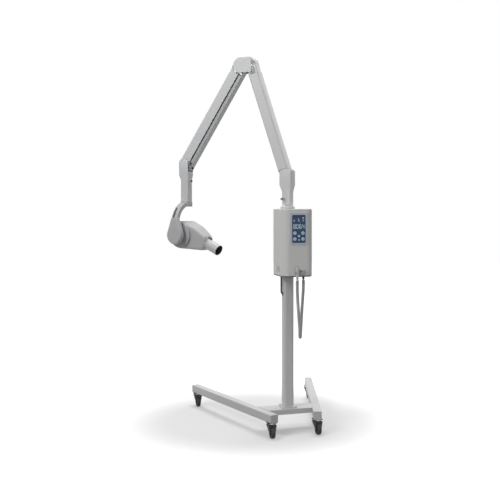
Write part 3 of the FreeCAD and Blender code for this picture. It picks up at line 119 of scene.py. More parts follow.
def floor_paper():
    """White paper: bright where it is seen, with painted shade near the unit, whiter further out, and quiet in the
    light it throws back.
    """
    material = bpy.data.materials.new("floor_paper")
    material.use_nodes = True
    tree = material.node_tree
    paper = tree.nodes["Principled BSDF"]
    paper.inputs["Base Color"].default_value = (0.56, 0.56, 0.565, 1)
    paper.inputs["Roughness"].default_value = 0.9
    paper.inputs["Specular IOR Level"].default_value = 0.1
    seen = eye_mask(tree, (-900, 500))
    place_on_floor = node(tree, "ShaderNodeNewGeometry", (-1300, 100))
    from_unit = node(tree, "ShaderNodeVectorMath", (-1100, 100), operation="DISTANCE")
    from_unit.inputs[1].default_value = (0, 0, 0)
    # The glow rises from weak near the unit to full further out: painted shade round the base.
    spread = node(tree, "ShaderNodeMapRange", (-900, 100), interpolation_type="SMOOTHSTEP")
    spread.inputs["From Min"].default_value = 0.45
    spread.inputs["From Max"].default_value = 1.15
    spread.inputs["To Min"].default_value = 0.30
    spread.inputs["To Max"].default_value = 1.0
    glow = node(tree, "ShaderNodeEmission", (-500, 100))
    bright = node(tree, "ShaderNodeAddShader", (-200, 200))
    quiet = node(tree, "ShaderNodeBsdfDiffuse", (-200, 0))
    quiet.inputs["Color"].default_value = (0.20, 0.20, 0.20, 1)
    both = node(tree, "ShaderNodeMixShader", (100, 200))
    link = tree.links.new
    link(place_on_floor.outputs["Position"], from_unit.inputs[0])
    link(from_unit.outputs["Value"], spread.inputs["Value"])
    link(spread.outputs["Result"], glow.inputs["Strength"])
    link(paper.outputs[0], bright.inputs[0])
    link(glow.outputs[0], bright.inputs[1])
    link(seen.outputs[0], both.inputs[0])
    link(quiet.outputs[0], both.inputs[1])
    link(bright.outputs[0], both.inputs[2])
    link(both.outputs[0], tree.nodes["Material Output"].inputs["Surface"])
    return material


def make_floor():
    form = bmesh.new()
    bmesh.ops.create_circle(form, cap_ends=True, segments=96, radius=14.0)
    floor = shaped("floor", form)
    floor.location = (0, 0, -0.0004)
    floor.data.materials.append(floor_paper())


make_floor()

world = bpy.data.worlds.new("studio")
bpy.context.scene.world = world
world.use_nodes = True
sky = world.node_tree
backdrop = sky.nodes["Background"]
backdrop.inputs["Color"].default_value = (1, 1, 1, 1)
backdrop.inputs["Strength"].default_value = 0.24
sky_white = node(sky, "ShaderNodeBackground", (-200, 200))
sky_white.inputs["Color"].default_value = (1, 1, 1, 1)
sky_white.inputs["Strength"].default_value = 1.0
choose = node(sky, "ShaderNodeMixShader", (0, 100))
sky.links.new(eye_mask(sky, (-900, 300)).outputs[0], choose.inputs[0])
sky.links.new(backdrop.outputs[0], choose.inputs[1])
sky.links.new(sky_white.outputs[0], choose.inputs[2])
sky.links.new(choose.outputs[0], sky.nodes["World Output"].inputs["Surface"])

# Base frame
# Two splayed square steel tubes welded to a low folded channel, with the column's foot plate bolted on it.
# Shot-blasted and sprayed with a satin pale-grey powder coat of fine orange peel.


def start_group(name, inputs, outputs):
    """Node group with (name, kind, value) inputs and (name, kind) outputs."""
    group = bpy.data.node_groups.new(name, "ShaderNodeTree")
    for label, kind, value in inputs:
        socket = group.interface.new_socket(label, in_out="INPUT", socket_type=kind)
        socket.default_value = value
    for label, kind in outputs:
        group.interface.new_socket(label, in_out="OUTPUT", socket_type=kind)
    return group, node(group, "NodeGroupInput", (-1200, 0)), node(group, "NodeGroupOutput", (900, 0))


def cloudy_colour_group():
    """Slow cloud in brightness, with dust settled on what faces up."""
    group, given, out = start_group(
        "cloudy_colour",
        [("Color", "NodeSocketColor", (0.8, 0.8, 0.8, 1)), ("Cloud", "NodeSocketFloat", 0.05),
         ("Scale", "NodeSocketFloat", 9.0), ("Dust", "NodeSocketFloat", 0.04)],
        [("Color", "NodeSocketColor"), ("Mask", "NodeSocketFloat")])
    spot = node(group, "ShaderNodeTexCoord", (-1200, -300))
    cloud = node(group, "ShaderNodeTexNoise", (-950, -200))
    cloud.inputs["Detail"].default_value = 4.0
    centred = node(group, "ShaderNodeMath", (-700, -200), operation="SUBTRACT")
    centred.inputs[1].default_value = 0.5
    swing = node(group, "ShaderNodeMath", (-500, -200), operation="MULTIPLY")
    level = node(group, "ShaderNodeMath", (-300, -200), operation="ADD")
    level.inputs[1].default_value = 1.0
    shade = node(group, "ShaderNodeVectorMath", (-100, 0), operation="SCALE")
    face = node(group, "ShaderNodeNewGeometry", (-950, -500))
    axes = node(group, "ShaderNodeSeparateXYZ", (-700, -500))
    up = node(group, "ShaderNodeMapRange", (-500, -500))
    up.inputs["From Min"].default_value = 0.75
    speck = node(group, "ShaderNodeTexNoise", (-700, -750))
    speck.inputs["Scale"].default_value = 160.0
    speck.inputs["Detail"].default_value = 6.0
    patch = node(group, "ShaderNodeMath", (-300, -550), operation="MULTIPLY")
    settled = node(group, "ShaderNodeMath", (-100, -550), operation="MULTIPLY")
    dusty = node(group, "ShaderNodeMix", (300, 0), data_type="RGBA")
    dusty.inputs["B"].default_value = (0.42, 0.41, 0.39, 1)
    link = group.links.new
    link(spot.outputs["Object"], cloud.inputs["Vector"])
    link(given.outputs["Scale"], cloud.inputs["Scale"])
    link(cloud.outputs["Fac"], centred.inputs[0])
    link(centred.outputs[0], swing.inputs[0])
    link(given.outputs["Cloud"], swing.inputs[1])
    link(swing.outputs[0], level.inputs[0])
    link(given.outputs["Color"], shade.inputs[0])
    link(level.outputs[0], shade.inputs["Scale"])
    link(face.outputs["Normal"], axes.inputs[0])
    link(axes.outputs["Z"], up.inputs["Value"])
    link(spot.outputs["Object"], speck.inputs["Vector"])
    link(up.outputs["Result"], patch.inputs[0])
    link(speck.outputs["Fac"], patch.inputs[1])
    link(patch.outputs[0], settled.inputs[0])
    link(given.outputs["Dust"], settled.inputs[1])
    link(settled.outputs[0], dusty.inputs["Factor"])
    link(shade.outputs[0], dusty.inputs["A"])
    link(dusty.outputs["Result"], out.inputs["Color"])
    link(settled.outputs[0], out.inputs["Mask"])
    return group


def painted_edge_highlight_group():
    """Mask of edges for a painted highlight, broken up by noise."""
    group, given, out = start_group(
        "painted_edge_highlight",
        [("Width", "NodeSocketFloat", 0.0012), ("Amount", "NodeSocketFloat", 0.5)],
        [("Mask", "NodeSocketFloat"), ("Normal", "NodeSocketVector")])
    soft = node(group, "ShaderNodeBevel", (-900, 100), samples=5)
    face = node(group, "ShaderNodeNewGeometry", (-900, -150))
    match = node(group, "ShaderNodeVectorMath", (-650, 0), operation="DOT_PRODUCT")
    turn = node(group, "ShaderNodeMapRange", (-450, 0))
    turn.inputs["From Min"].default_value = 0.98
    turn.inputs["From Max"].default_value = 0.80
    spot = node(group, "ShaderNodeTexCoord", (-900, -400))
    edge_noise = node(group, "ShaderNodeTexNoise", (-650, -350))
    edge_noise.inputs["Scale"].default_value = 55.0
    edge_noise.inputs["Detail"].default_value = 7.0
    broken = node(group, "ShaderNodeMapRange", (-450, -350))
    broken.inputs["From Min"].default_value = 0.42
    broken.inputs["From Max"].default_value = 0.62
    both = node(group, "ShaderNodeMath", (-200, 0), operation="MULTIPLY")
    scaled = node(group, "ShaderNodeMath", (100, 0), operation="MULTIPLY")
    link = group.links.new
    link(given.outputs["Width"], soft.inputs["Radius"])
    link(soft.outputs["Normal"], match.inputs[0])
    link(face.outputs["Normal"], match.inputs[1])
    link(match.outputs["Value"], turn.inputs["Value"])
    link(spot.outputs["Object"], edge_noise.inputs["Vector"])
    link(edge_noise.outputs["Fac"], broken.inputs["Value"])
    link(turn.outputs["Result"], both.inputs[0])
    link(broken.outputs["Result"], both.inputs[1])
    link(both.outputs[0], scaled.inputs[0])
    link(given.outputs["Amount"], scaled.inputs[1])
    link(scaled.outputs[0], out.inputs["Mask"])
    link(soft.outputs["Normal"], out.inputs["Normal"])
    return group


def skin_texture_group():
    """Fine and coarse relief of a sprayed or moulded skin, and the roughness that goes with it."""
    group, given, out = start_group(
        "skin_texture",
        [("Scale", "NodeSocketFloat", 700.0), ("Roughness", "NodeSocketFloat", 0.4),
         ("Spread", "NodeSocketFloat", 0.1)],
        [("Height", "NodeSocketFloat"), ("Roughness", "NodeSocketFloat")])
    spot = node(group, "ShaderNodeTexCoord", (-900, 0))
    peel = node(group, "ShaderNodeTexNoise", (-650, 100))
    peel.inputs["Detail"].default_value = 3.0
    coarse = node(group, "ShaderNodeTexNoise", (-650, -200))
    coarse.inputs["Scale"].default_value = 26.0
    coarse.inputs["Detail"].default_value = 5.0
    centred = node(group, "ShaderNodeMath", (-400, -200), operation="SUBTRACT")
    centred.inputs[1].default_value = 0.5
    swing = node(group, "ShaderNodeMath", (-200, -200), operation="MULTIPLY")
    rough = node(group, "ShaderNodeMath", (0, -200), operation="ADD")
    link = group.links.new
    link(spot.outputs["Object"], peel.inputs["Vector"])
    link(spot.outputs["Object"], coarse.inputs["Vector"])
    link(given.outputs["Scale"], peel.inputs["Scale"])
    link(peel.outputs["Fac"], out.inputs["Height"])
    link(coarse.outputs["Fac"], centred.inputs[0])
    link(centred.outputs[0], swing.inputs[0])
    link(given.outputs["Spread"], swing.inputs[1])
    link(swing.outputs[0], rough.inputs[0])
    link(given.outputs["Roughness"], rough.inputs[1])
    link(rough.outputs[0], out.inputs["Roughness"])
    return group


cloudy_colour = cloudy_colour_group()
painted_edge_highlight = painted_edge_highlight_group()
skin_texture = skin_texture_group()


def use_group(tree, group, spot, **values):
    made = node(tree, "ShaderNodeGroup", spot, node_tree=group)
    for label, value in values.items():
        made.inputs[label].default_value = value
    return made


def coated(name, colour, rough=0.42, grain=700.0, relief=0.00006, cloud=0.06, dust=0.05,
           edge_colour=None, edge=0.25, edge_width=0.0012, metallic=0.0, specular=0.5, spread=0.12):
    """Painted or moulded skin: clouded colour, settled dust, edges painted lighter as a highlight and a fine relief.
    """
    material = bpy.data.materials.new(name)
    material.use_nodes = True
    tree = material.node_tree
    shader = tree.nodes["Principled BSDF"]
    shader.inputs["Metallic"].default_value = metallic
    shader.inputs["Specular IOR Level"].default_value = specular
    tint = use_group(tree, cloudy_colour, (-900, 200), Color=(*colour, 1), Cloud=cloud, Dust=dust)
    edge_light = use_group(tree, painted_edge_highlight, (-900, -100), Width=edge_width, Amount=edge)
    skin = use_group(tree, skin_texture, (-900, -350), Scale=grain, Roughness=rough, Spread=spread)
    # Edges are mixed toward a lighter colour: a painted highlight, not wear.
    lit_edges = node(tree, "ShaderNodeMix", (-500, 200), data_type="RGBA")
    lit_edges.inputs["B"].default_value = (*(edge_colour or [min(1.0, c * 1.18) for c in colour]), 1)
    bump = node(tree, "ShaderNodeBump", (-300, -300))
    bump.inputs["Distance"].default_value = relief
    bump.inputs["Strength"].default_value = 0.6
    link = tree.links.new
    link(tint.outputs["Color"], lit_edges.inputs["A"])
    link(edge_light.outputs["Mask"], lit_edges.inputs["Factor"])
    link(lit_edges.outputs["Result"], shader.inputs["Base Color"])
    link(skin.outputs["Roughness"], shader.inputs["Roughness"])
    link(skin.outputs["Height"], bump.inputs["Height"])
    link(edge_light.outputs["Normal"], bump.inputs["Normal"])
    link(bump.outputs["Normal"], shader.inputs["Normal"])
    return material


def dress(material, *names):
    """Gives CAD nodes their material."""
    for name in names:
        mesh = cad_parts[name].data
        mesh.materials.clear()
        mesh.materials.append(material)


frame_paint = coated("frame_powder_coat", (0.64, 0.64, 0.635), rough=0.40)
dress(frame_paint, "legs", "crossbar", "column_foot", "column", "column_head")

end_cap_plastic = coated("end_cap_plastic", (0.56, 0.56, 0.56), rough=0.48, grain=900.0, relief=0.00004)
dress(end_cap_plastic, "leg_end_caps")

zinc_plate = coated("zinc_plate", (0.62, 0.62, 0.60), rough=0.32, grain=1400.0, relief=0.00002, metallic=1.0,
                    cloud=0.16, dust=0.02, edge=0.1)
dress(zinc_plate, "foot_bolts", "caster_races", "shoulder_pins", "elbow_pins", "front_pins", "rear_link")

# Casters
# Black moulded swivel forks on bright pressed-steel ball races, with black wheels on pressed axles.

# The much lighter edge colours of the fork and the wheel are a painted highlight on the black.
caster_black = coated("caster_nylon", (0.018, 0.018, 0.020), rough=0.42, grain=1100.0, relief=0.00005, dust=0.10,
                      edge_colour=(0.07, 0.07, 0.07), edge=0.35)
wheel_black = coated("wheel_rubber", (0.014, 0.014, 0.016), rough=0.55, grain=500.0, relief=0.00008, dust=0.18,
                     edge_colour=(0.05, 0.05, 0.05), edge=0.3)
dress(caster_black, "caster_plates")
for corner in ("rear_left", "front_left", "rear_right", "front_right"):
    dress(caster_black, "caster_fork_" + corner)
    dress(wheel_black, "caster_wheel_" + corner)

# Column's top
# A plain white bearing ring between the column's flange and the swivelling knuckle.

ring_white = coated("ring_acetal", (0.82, 0.82, 0.81), rough=0.35, grain=1500.0, relief=0.00002)
dress(ring_white, "collar_ring")

# Control box
# Folded steel cover in a slightly darker coat, dark bottom plate, and two straps round the column.

box_paint = coated("box_powder_coat", (0.70, 0.70, 0.69), rough=0.46, grain=620.0, relief=0.00009, cloud=0.05)
dress(box_paint, "box_shell", "box_back")
bottom_dark = coated("bottom_plate_plastic", (0.09, 0.09, 0.095), rough=0.5, grain=800.0)
dress(bottom_dark, "box_bottom")
dress(frame_paint, "box_straps")
inner_steel = coated("inner_steel", (0.35, 0.36, 0.37), rough=0.4, metallic=1.0)
dress(inner_steel, "power_unit", "tube_insert", "tilt_shaft")

# Control panel
# Silver-blue moulded bezel round a navy printed membrane with pale-blue domed keys and a dark window; the pale print
# is given a painted glow.

bezel_plastic = coated("bezel_plastic", (0.56, 0.60, 0.66), rough=0.38, grain=1300.0, relief=0.00003)
dress(bezel_plastic, "panel_bezel")
# Its lighter edge colour is a painted highlight.
membrane_navy = coated("membrane_navy", (0.002, 0.028, 0.10), rough=0.30, grain=1600.0, relief=0.00002, cloud=0.1,
                       dust=0.0, edge_colour=(0.02, 0.06, 0.12))
dress(membrane_navy, "panel_membrane")
window_dark = coated("display_window", (0.012, 0.05, 0.10), rough=0.16, grain=200.0, relief=0.00001, dust=0.0)
dress(window_dark, "panel_display")
key_blue = coated("key_pale_blue", (0.46, 0.58, 0.72), rough=0.34, grain=1500.0, relief=0.00002, dust=0.0)
dress(key_blue, "panel_keys")

panel_centre_x = -8.0
membrane_face_y = 174.1
digit_row_z = 1118.5
print_depth = 0.00025
ring_width = 1.9


def print_patch(points, name):
    """Thin printed patch on the membrane from points (x, z) in millimetres round the panel's centre line."""
    form = bmesh.new()
    low = [form.verts.new(place(panel_centre_x + x, membrane_face_y, z)) for x, z in points]
    high = [form.verts.new(v.co + Vector((0, print_depth, 0))) for v in low]
    form.faces.new(low)
    form.faces.new(high)
    for i in range(len(low)):
        form.faces.new((low[i - 1], low[i], high[i], high[i - 1]))
    bmesh.ops.recalc_face_normals(form, faces=form.faces)
    mark = shaped(name, form)
    mark.data.materials.append(glowing_print)
    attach(mark, "base")


def bar(x, z, wide, high):
    cut = min(wide, high) * 0.3
    return [(x - wide / 2 + cut, z - high / 2), (x + wide / 2 - cut, z - high / 2), (x + wide / 2, z - high / 2 + cut),
            (x + wide / 2, z + high / 2 - cut), (x + wide / 2 - cut, z + high / 2), (x - wide / 2 + cut, z + high / 2),
            (x - wide / 2, z + high / 2 - cut), (x - wide / 2, z - high / 2 + cut)]


glowing_print = coated("print_pale_blue_painted_glow", (0.50, 0.66, 0.78), rough=0.35, dust=0.0, cloud=0.12)
# Emission makes the print glow though it is no lamp: painted brightness.
glowing_print.node_tree.nodes["Principled BSDF"].inputs["Emission Color"].default_value = (0.55, 0.80, 1.0, 1)
glowing_print.node_tree.nodes["Principled BSDF"].inputs["Emission Strength"].default_value = 0.25
segments = {"8": "abcdefg", "0": "abcdef", "6": "acdefg", "4": "bcfg"}
layout = {"a": (0, 11, 8, 3), "g": (0, 0, 8, 3), "d": (0, -11, 8, 3), "f": (5, 5.5, 3, 9), "b": (-5, 5.5, 3, 9),
          "e": (5, -5.5, 3, 9), "c": (-5, -5.5, 3, 9)}
for digit, spot_x in zip("8064", (24, 8.5, -8.5, -24)):
    for letter in segments[digit]:
        x, z, wide, high = layout[letter]
        print_patch(bar(spot_x + x, digit_row_z + z, wide, high), "display_segment")
for x, z, wide, high in ((26, 1152, 7, 3), (26, 1147, 3, 6), (0, 1152, 10, 2.5), (0, 1147, 5, 5), (-24, 1164, 9, 6),
                         (-24, 1153, 9, 3), (-24, 1147, 5, 3), (3, 1158, 2.5, 7)):
    print_patch(bar(x, z, wide, high), "panel_icon")
for x, z, ring in ((22.5, 1083.5, 9.2), (-22.5, 1083.5, 9.2), (22.5, 1052.5, 9.2), (-22.5, 1052.5, 9.2),
                   (0, 1068, 6.4)):
    for i in range(24):
        a, b = 2 * math.pi * i / 24, 2 * math.pi * (i + 1) / 24
        print_patch([(x + r * math.cos(t), z + r * math.sin(t)) for r, t in
                     ((ring, a), (ring, b), (ring - ring_width, b), (ring - ring_width, a))], "key_ring")

# Hand switch, its holder and the curly cord
# The grip hangs in a spring clip; its cord is a coil of jacketed wire that loops down and up to a gland.

grip_plastic = coated("grip_plastic", (0.60, 0.60, 0.585), rough=0.42, grain=1000.0)
dress(grip_plastic, "hand_switch")
holder_grey = coated("holder_grey", (0.40, 0.40, 0.395), rough=0.5, grain=900.0)
dress(holder_grey, "switch_holder", "exposure_button")
rubber_black = coated("rubber_black", (0.010, 0.010, 0.011), rough=0.48, grain=900.0, relief=0.00003)
dress(rubber_black, "cord_gland", "column_cable", "cable_grommet")

cord_route = (
    (5.0, 187.0, 839.0), (6.5, 188.5, 800.0), (4.0, 188.0, 735.0), (-2.0, 186.5, 655.0), (-8.0, 184.5, 590.0),
    (-9.0, 186.5, 532.0), (-25.5, 147.5, 532.0), (-28.0, 149.0, 592.0), (-32.5, 147.5, 665.0),
    (-38.5, 147.0, 745.0), (-42.0, 148.5, 800.0), (-41.0, 148.0, 837.0),
)
coil_radius = 0.0068
wire_diameter = 0.0046
coil_pitch = 0.0049
coil_tail = 0.006
turn_points = 12


def open_spline(name, points, depth=0.0):
    """Curve object with one open NURBS spline of order 3 through to both ends."""
    curve = bpy.data.curves.new(name, "CURVE")
    curve.dimensions = "3D"
    curve.bevel_depth = depth
    spline = curve.splines.new("NURBS")
    spline.points.add(len(points) - 1)
    for held, point in zip(spline.points, points):
        held.co = (*point, 1)
    spline.order_u = 3
    spline.use_endpoint_u = True
    return add_object(name, curve)


def line_of(piece):
    """Points of a curve that has no bevel."""
    bpy.context.view_layer.update()
    ready = piece.evaluated_get(bpy.context.evaluated_depsgraph_get())
    mesh = bpy.data.meshes.new_from_object(ready)
    points = [v.co.copy() for v in mesh.vertices]
    bpy.data.meshes.remove(mesh)
    return points


def even_steps(points, step):
    """The same line with a point at every step of its length."""
    made = [points[0].copy()]
    left = step
    here = points[0].copy()
    for after in points[1:]:
        while (after - here).length >= left:
            here = here + (after - here).normalized() * left
            made.append(here.copy())
            left = step
        left -= (after - here).length
        here = after
    return made


guide = open_spline("cord_guide", [place(*p) for p in reversed(cord_route)])
guide.data.splines[0].resolution_u = 24
path = even_steps(line_of(guide), coil_pitch / turn_points)
bpy.data.objects.remove(guide)

coil = []
side = Vector((1, 0, 0))
whole = (len(path) - 1) * coil_pitch / turn_points
for i, point in enumerate(path):
    ahead = (path[min(i + 1, len(path) - 1)] - path[max(i - 1, 0)]).normalized()
    side = (side - ahead * side.dot(ahead)).normalized()
    across = ahead.cross(side)
    travelled = i * coil_pitch / turn_points
    edge = min(travelled, whole - travelled)
    swell = min(1.0, max(0.0, edge / coil_tail)) ** 1.5
    angle = 2 * math.pi * i / turn_points
    coil.append(point + (side * math.cos(angle) + across * math.sin(angle)) * coil_radius * swell)

cord = open_spline("curly_cord_coil", coil, wire_diameter / 2)
cord.data.bevel_resolution = 2
cord.data.splines[0].resolution_u = 2

cord_skin = coated("cord_jacket", (0.52, 0.53, 0.54), rough=0.30, grain=900.0, relief=0.00002, cloud=0.08, dust=0.0)
cord_skin.node_tree.nodes["Principled BSDF"].inputs["Transmission Weight"].default_value = 0.15
cord.data.materials.append(cord_skin)
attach(cord, "base")
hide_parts("curly_cord")

# Shoulder
# A cast knuckle on the column's bearing ring, closed at the back and open above for the rear arm's foot.
# Its swivel is held by a fluted knob with a bright stud.

millimetre = Matrix.Diagonal((0.001, 0.001, 0.001, 1.0))


def turn(axis, angle):
    return Matrix.Rotation(math.radians(angle), 4, axis)


def shift(x, y, z):
    return Matrix.Translation((x, y, z))


def rounded(corners, steps=7):
    """Points of an outline whose corners (u, v) or (u, v, radius) are rounded off."""
    points = []
    for i, corner in enumerate(corners):
        here = Vector(corner[:2])
        radius = corner[2] if len(corner) > 2 else 0
        if radius <= 0:
            points.append(tuple(here))
            continue
        back = (Vector(corners[i - 1][:2]) - here).normalized()
        ahead = (Vector(corners[(i + 1) % len(corners)][:2]) - here).normalized()
        half = back.angle(ahead) / 2
        centre = here + (back + ahead).normalized() * radius / math.sin(half)
        first = here + back * radius / math.tan(half) - centre
        last = here + ahead * radius / math.tan(half) - centre
        sweep = first.angle_signed(last)
        for k in range(steps + 1):
            turned_by = Matrix.Rotation(-sweep * k / steps, 2)
            points.append(tuple(centre + turned_by @ first))
    return points


def circle(radius, u=0.0, v=0.0, steps=72):
    angles = [2 * math.pi * i / steps for i in range(steps)]
    return [(u + radius * math.cos(a), v + radius * math.sin(a)) for a in angles]


def box_outline(u0, u1, v0, v1, radius=0.0):
    return rounded(((u0, v0, radius), (u1, v0, radius), (u1, v1, radius), (u0, v1, radius)))


def loft(first, low, last, high, along="z"):
    """Solid between two outlines with as many points, low and high on the axis it runs along."""
    spots = {"x": lambda p, h: (h, p[0], p[1]), "y": lambda p, h: (p[0], h, p[1]), "z": lambda p, h: (p[0], p[1], h)}
    form = bmesh.new()
    foot = [form.verts.new(spots[along](p, low)) for p in first]
    head = [form.verts.new(spots[along](p, high)) for p in last]
    form.faces.new(foot)
    form.faces.new(head)
    for i in range(len(foot)):
        form.faces.new((foot[i - 1], foot[i], head[i], head[i - 1]))
    bmesh.ops.recalc_face_normals(form, faces=form.faces)
    return shaped("form", form)


def prism(outline, low, high, along="z"):
    return loft(outline, low, outline, high, along)


def worked(base, *steps):
    """Solid after its steps, each a word (cut, fuse or common) and a tool that is used up."""
    words = {"cut": "DIFFERENCE", "fuse": "UNION", "common": "INTERSECT"}
    for word, tool in steps:
        step = base.modifiers.new(word, "BOOLEAN")
        step.operation = words[word]
        step.solver = "EXACT"
        step.object = tool
    bpy.context.view_layer.update()
    mesh = bpy.data.meshes.new_from_object(base.evaluated_get(bpy.context.evaluated_depsgraph_get()))
    for used in [tool for _, tool in steps] + [base]:
        bpy.data.objects.remove(used)
    return add_object("form", mesh)


def softened(piece, width, angle=50, steps=3):
    """Solid with its sharp edges rounded."""
    bevel = piece.modifiers.new("soft", "BEVEL")
    bevel.width = width
    bevel.segments = steps
    bevel.limit_method = "ANGLE"
    bevel.angle_limit = math.radians(angle)
    return worked(piece)


def finish(name, piece, placing, body, material, instead=None):
    """Names a solid made in millimetres, sets it in its place and lets it ride on its body."""
    piece.name = name
    piece.data.transform(placing @ millimetre)
    piece.data.shade_smooth()
    piece.data.set_sharp_from_angle(angle=math.radians(32))
    piece.data.materials.clear()
    piece.data.materials.append(material)
    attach(piece, body)
    if instead:
        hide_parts(instead)
    return piece


arm_paint = coated("arm_powder_coat", (0.70, 0.705, 0.715), rough=0.38)
cover_plastic = coated("cover_plastic", (0.70, 0.705, 0.715), rough=0.42, grain=950.0, relief=0.000006)
cast_alloy = coated("cast_alloy", (0.42, 0.43, 0.44), rough=0.45, grain=400.0, relief=0.00012, metallic=0.9)

arm_plane = Matrix.Translation(column_axis) @ turn("Z", -40)
arm_reach = 665.0
rear_lean = 18.5
fore_lean = 32.7
cheek_in = 29.0
cheek_out = 32.6
shoulder_z = 1378.0
knuckle_foot_z = 1234.7
drop_tube_end_z = 1252.3
brake_knob_z = 1371.0
elbow_x = arm_reach * math.sin(math.radians(rear_lean))
elbow_z = shoulder_z + arm_reach * math.cos(math.radians(rear_lean))
front_x = elbow_x + 62.0
wrist_x = front_x + arm_reach * math.sin(math.radians(fore_lean))
wrist_z = elbow_z - arm_reach * math.cos(math.radians(fore_lean))
link_x = -24.0 * math.cos(math.radians(fore_lean))
link_z = -24.0 * math.sin(math.radians(fore_lean))


def in_arm_plane(frame_in_mm):
    """Placing of a frame given in millimetres inside the arm's plane."""
    return arm_plane @ millimetre @ frame_in_mm @ millimetre.inverted()


def shoulder_casting():
    low = shoulder_z - 36
    flare_z = low - 36
    neck = prism(box_outline(-26, 26, -26, 26, 10), knuckle_foot_z, flare_z)
    flare = loft(box_outline(-26, 26, -26, 26, 10), flare_z, box_outline(-33, 38, -cheek_out, cheek_out, 8), low)
    crown = worked(prism(box_outline(-33, 38, -cheek_out, cheek_out, 8), low, shoulder_z + 53),
                   ("common", prism([(-90, low - 1), (90, low - 1), (90, shoulder_z), *arc_top(53, shoulder_z),
                                     (-90, shoulder_z)], -50, 50, "y")))
    throat = prism(box_outline(-30, 90, -cheek_in, cheek_in), low + 6, shoulder_z + 90)
    return worked(neck, ("fuse", flare), ("fuse", crown), ("cut", throat))


def arc_top(radius, z, steps=36):
    """Points of a half circle from its right end over the top to its left end."""
    return [(radius * math.cos(math.pi * i / steps), z + radius * math.sin(math.pi * i / steps))
            for i in range(steps + 1)]


finish("shoulder_knuckle_casting", softened(shoulder_casting(), 1.2), in_arm_plane(Matrix()), "swivel", arm_paint,
       "shoulder_knuckle")

knob_grey = coated("knob_grey", (0.30, 0.30, 0.31), rough=0.42, grain=900.0)
knob_dark = coated("knob_dark", (0.035, 0.035, 0.038), rough=0.45, grain=900.0)
dress(knob_grey, "swivel_lock_knob")
dress(knob_dark, "brake_knob")

# Rear arm
# A wide hollow tube whose ends are cut to follow the knuckle and the hub, on two cast ends with rounded backs.

lug_radius = 12.5
tube_end_radius = 54.0


def rear_tube():
    tube = prism(box_outline(-29, 29, -36, 36, 9), 0, arm_reach)
    hollow = prism(box_outline(-26, 26, -33, 33, 6), -1, arm_reach + 1)
    return worked(tube, ("cut", hollow), ("cut", prism(circle(tube_end_radius, 0, 0, 96), -60, 60, "y")),
                  ("cut", prism(circle(tube_end_radius, 0, arm_reach, 96), -60, 60, "y")))


def rear_end(upper):
    reach = prism(box_outline(-29, 29, -27, 27, 9), 0, 56)
    neck = worked(reach, ("common", prism(circle(tube_end_radius - 0.4, 0, 0, 96), -40, 40, "y")))
    half_round = [(2, 18.5), *[(29 * math.cos(a), 29 * math.sin(a)) for a in
                               [math.radians(150 + 6 * i) for i in range(20)]], (2, -28.9)]
    back = prism(half_round, -27, 27, "y")
    lug = prism(circle(lug_radius), -27, 27, "y")
    root = prism(box_outline(-25.8, 25.8, -27, 27, 9), lug_radius, 86)
    pieces = [("fuse", back), ("fuse", lug), ("fuse", root)]
    if upper:
        crown = prism(rounded(((-29, 1), (5, 1), (5, -43), (-29, -43, 24))), -27, 27, "y")
        pieces.append(("fuse", worked(crown, ("common", prism(circle(43, 0, 0, 96), -40, 40, "y")))))
    lane = prism(box_outline(8.5, 60, -6, 6), -60, 87)
    body = worked(neck, *pieces, ("cut", lane))
    if not upper:
        clear = worked(prism(box_outline(5, 60, -60, 60), -60, 18.5),
                       ("cut", prism(circle(lug_radius), -61, 61, "y")))
        body = worked(body, ("cut", clear))
    else:
        body.data.transform(shift(0, 0, arm_reach) @ Matrix.Diagonal((1, 1, -1, 1)))
        body.data.flip_normals()
    return body


rear_frame = in_arm_plane(shift(0, 0, shoulder_z) @ turn("Y", rear_lean))
finish("rear_arm_wide_tube", rear_tube(), rear_frame, "rear_arm", arm_paint, "rear_arm_tube")
finish("rear_arm_foot_casting", rear_end(False), rear_frame, "rear_arm", arm_paint, "rear_arm_ends")
finish("rear_arm_crown_casting", rear_end(True), rear_frame, "rear_arm", arm_paint, "rear_arm_ends")
dress(arm_paint, "elbow_hub")

# Forearm
# A moulded cover over the sprung beam, and a folded channel below it that keeps the front knuckle upright.

dress(cover_plastic, "forearm_cover")
beam_dark = coated("beam_dark_paint", (0.16, 0.165, 0.16), rough=0.5)
dress(beam_dark, "forearm_beam")
dress(cast_alloy, "forearm_ends")


def lower_link():
    channel = prism(box_outline(-9, 9, -22.5, 22.5, 2), 47, arm_reach - 47)
    hollow = prism(box_outline(-14, 6.5, -20, 20), 0, arm_reach)
    web = prism(box_outline(6.5, 9, -22.5, 22.5), 10, arm_reach - 10)
    eyes = [("fuse", prism(circle(6, 0, z, 40), -5, 5, "y")) for z in (0, arm_reach)]
    tongues = [("fuse", prism(box_outline(-4, 6.5, -5, 5), a, b)) for a, b in ((0, 77), (arm_reach - 77, arm_reach))]
    return worked(channel, ("cut", hollow), ("fuse", web), *tongues, *eyes)


link_frame = in_arm_plane(shift(front_x + link_x, 0, elbow_z + link_z) @ turn("Y", 180 - fore_lean))
link_paint = coated("link_paint", (0.50, 0.505, 0.51), rough=0.34, relief=0.00001)
finish("forearm_lower_link", lower_link(), link_frame, "fore_link", link_paint, "fore_link")
screw_spot = arm_reach - 17.5
tension_screw = softened(prism(circle(6, 0, screw_spot, 40), 9, 19, "x"), 0.8, steps=1)
finish("link_tension_screw", tension_screw, link_frame, "fore_link", knob_dark)

# Front knuckle
# A casting round the forearm's end, open toward the link, that narrows into the square drop tube.


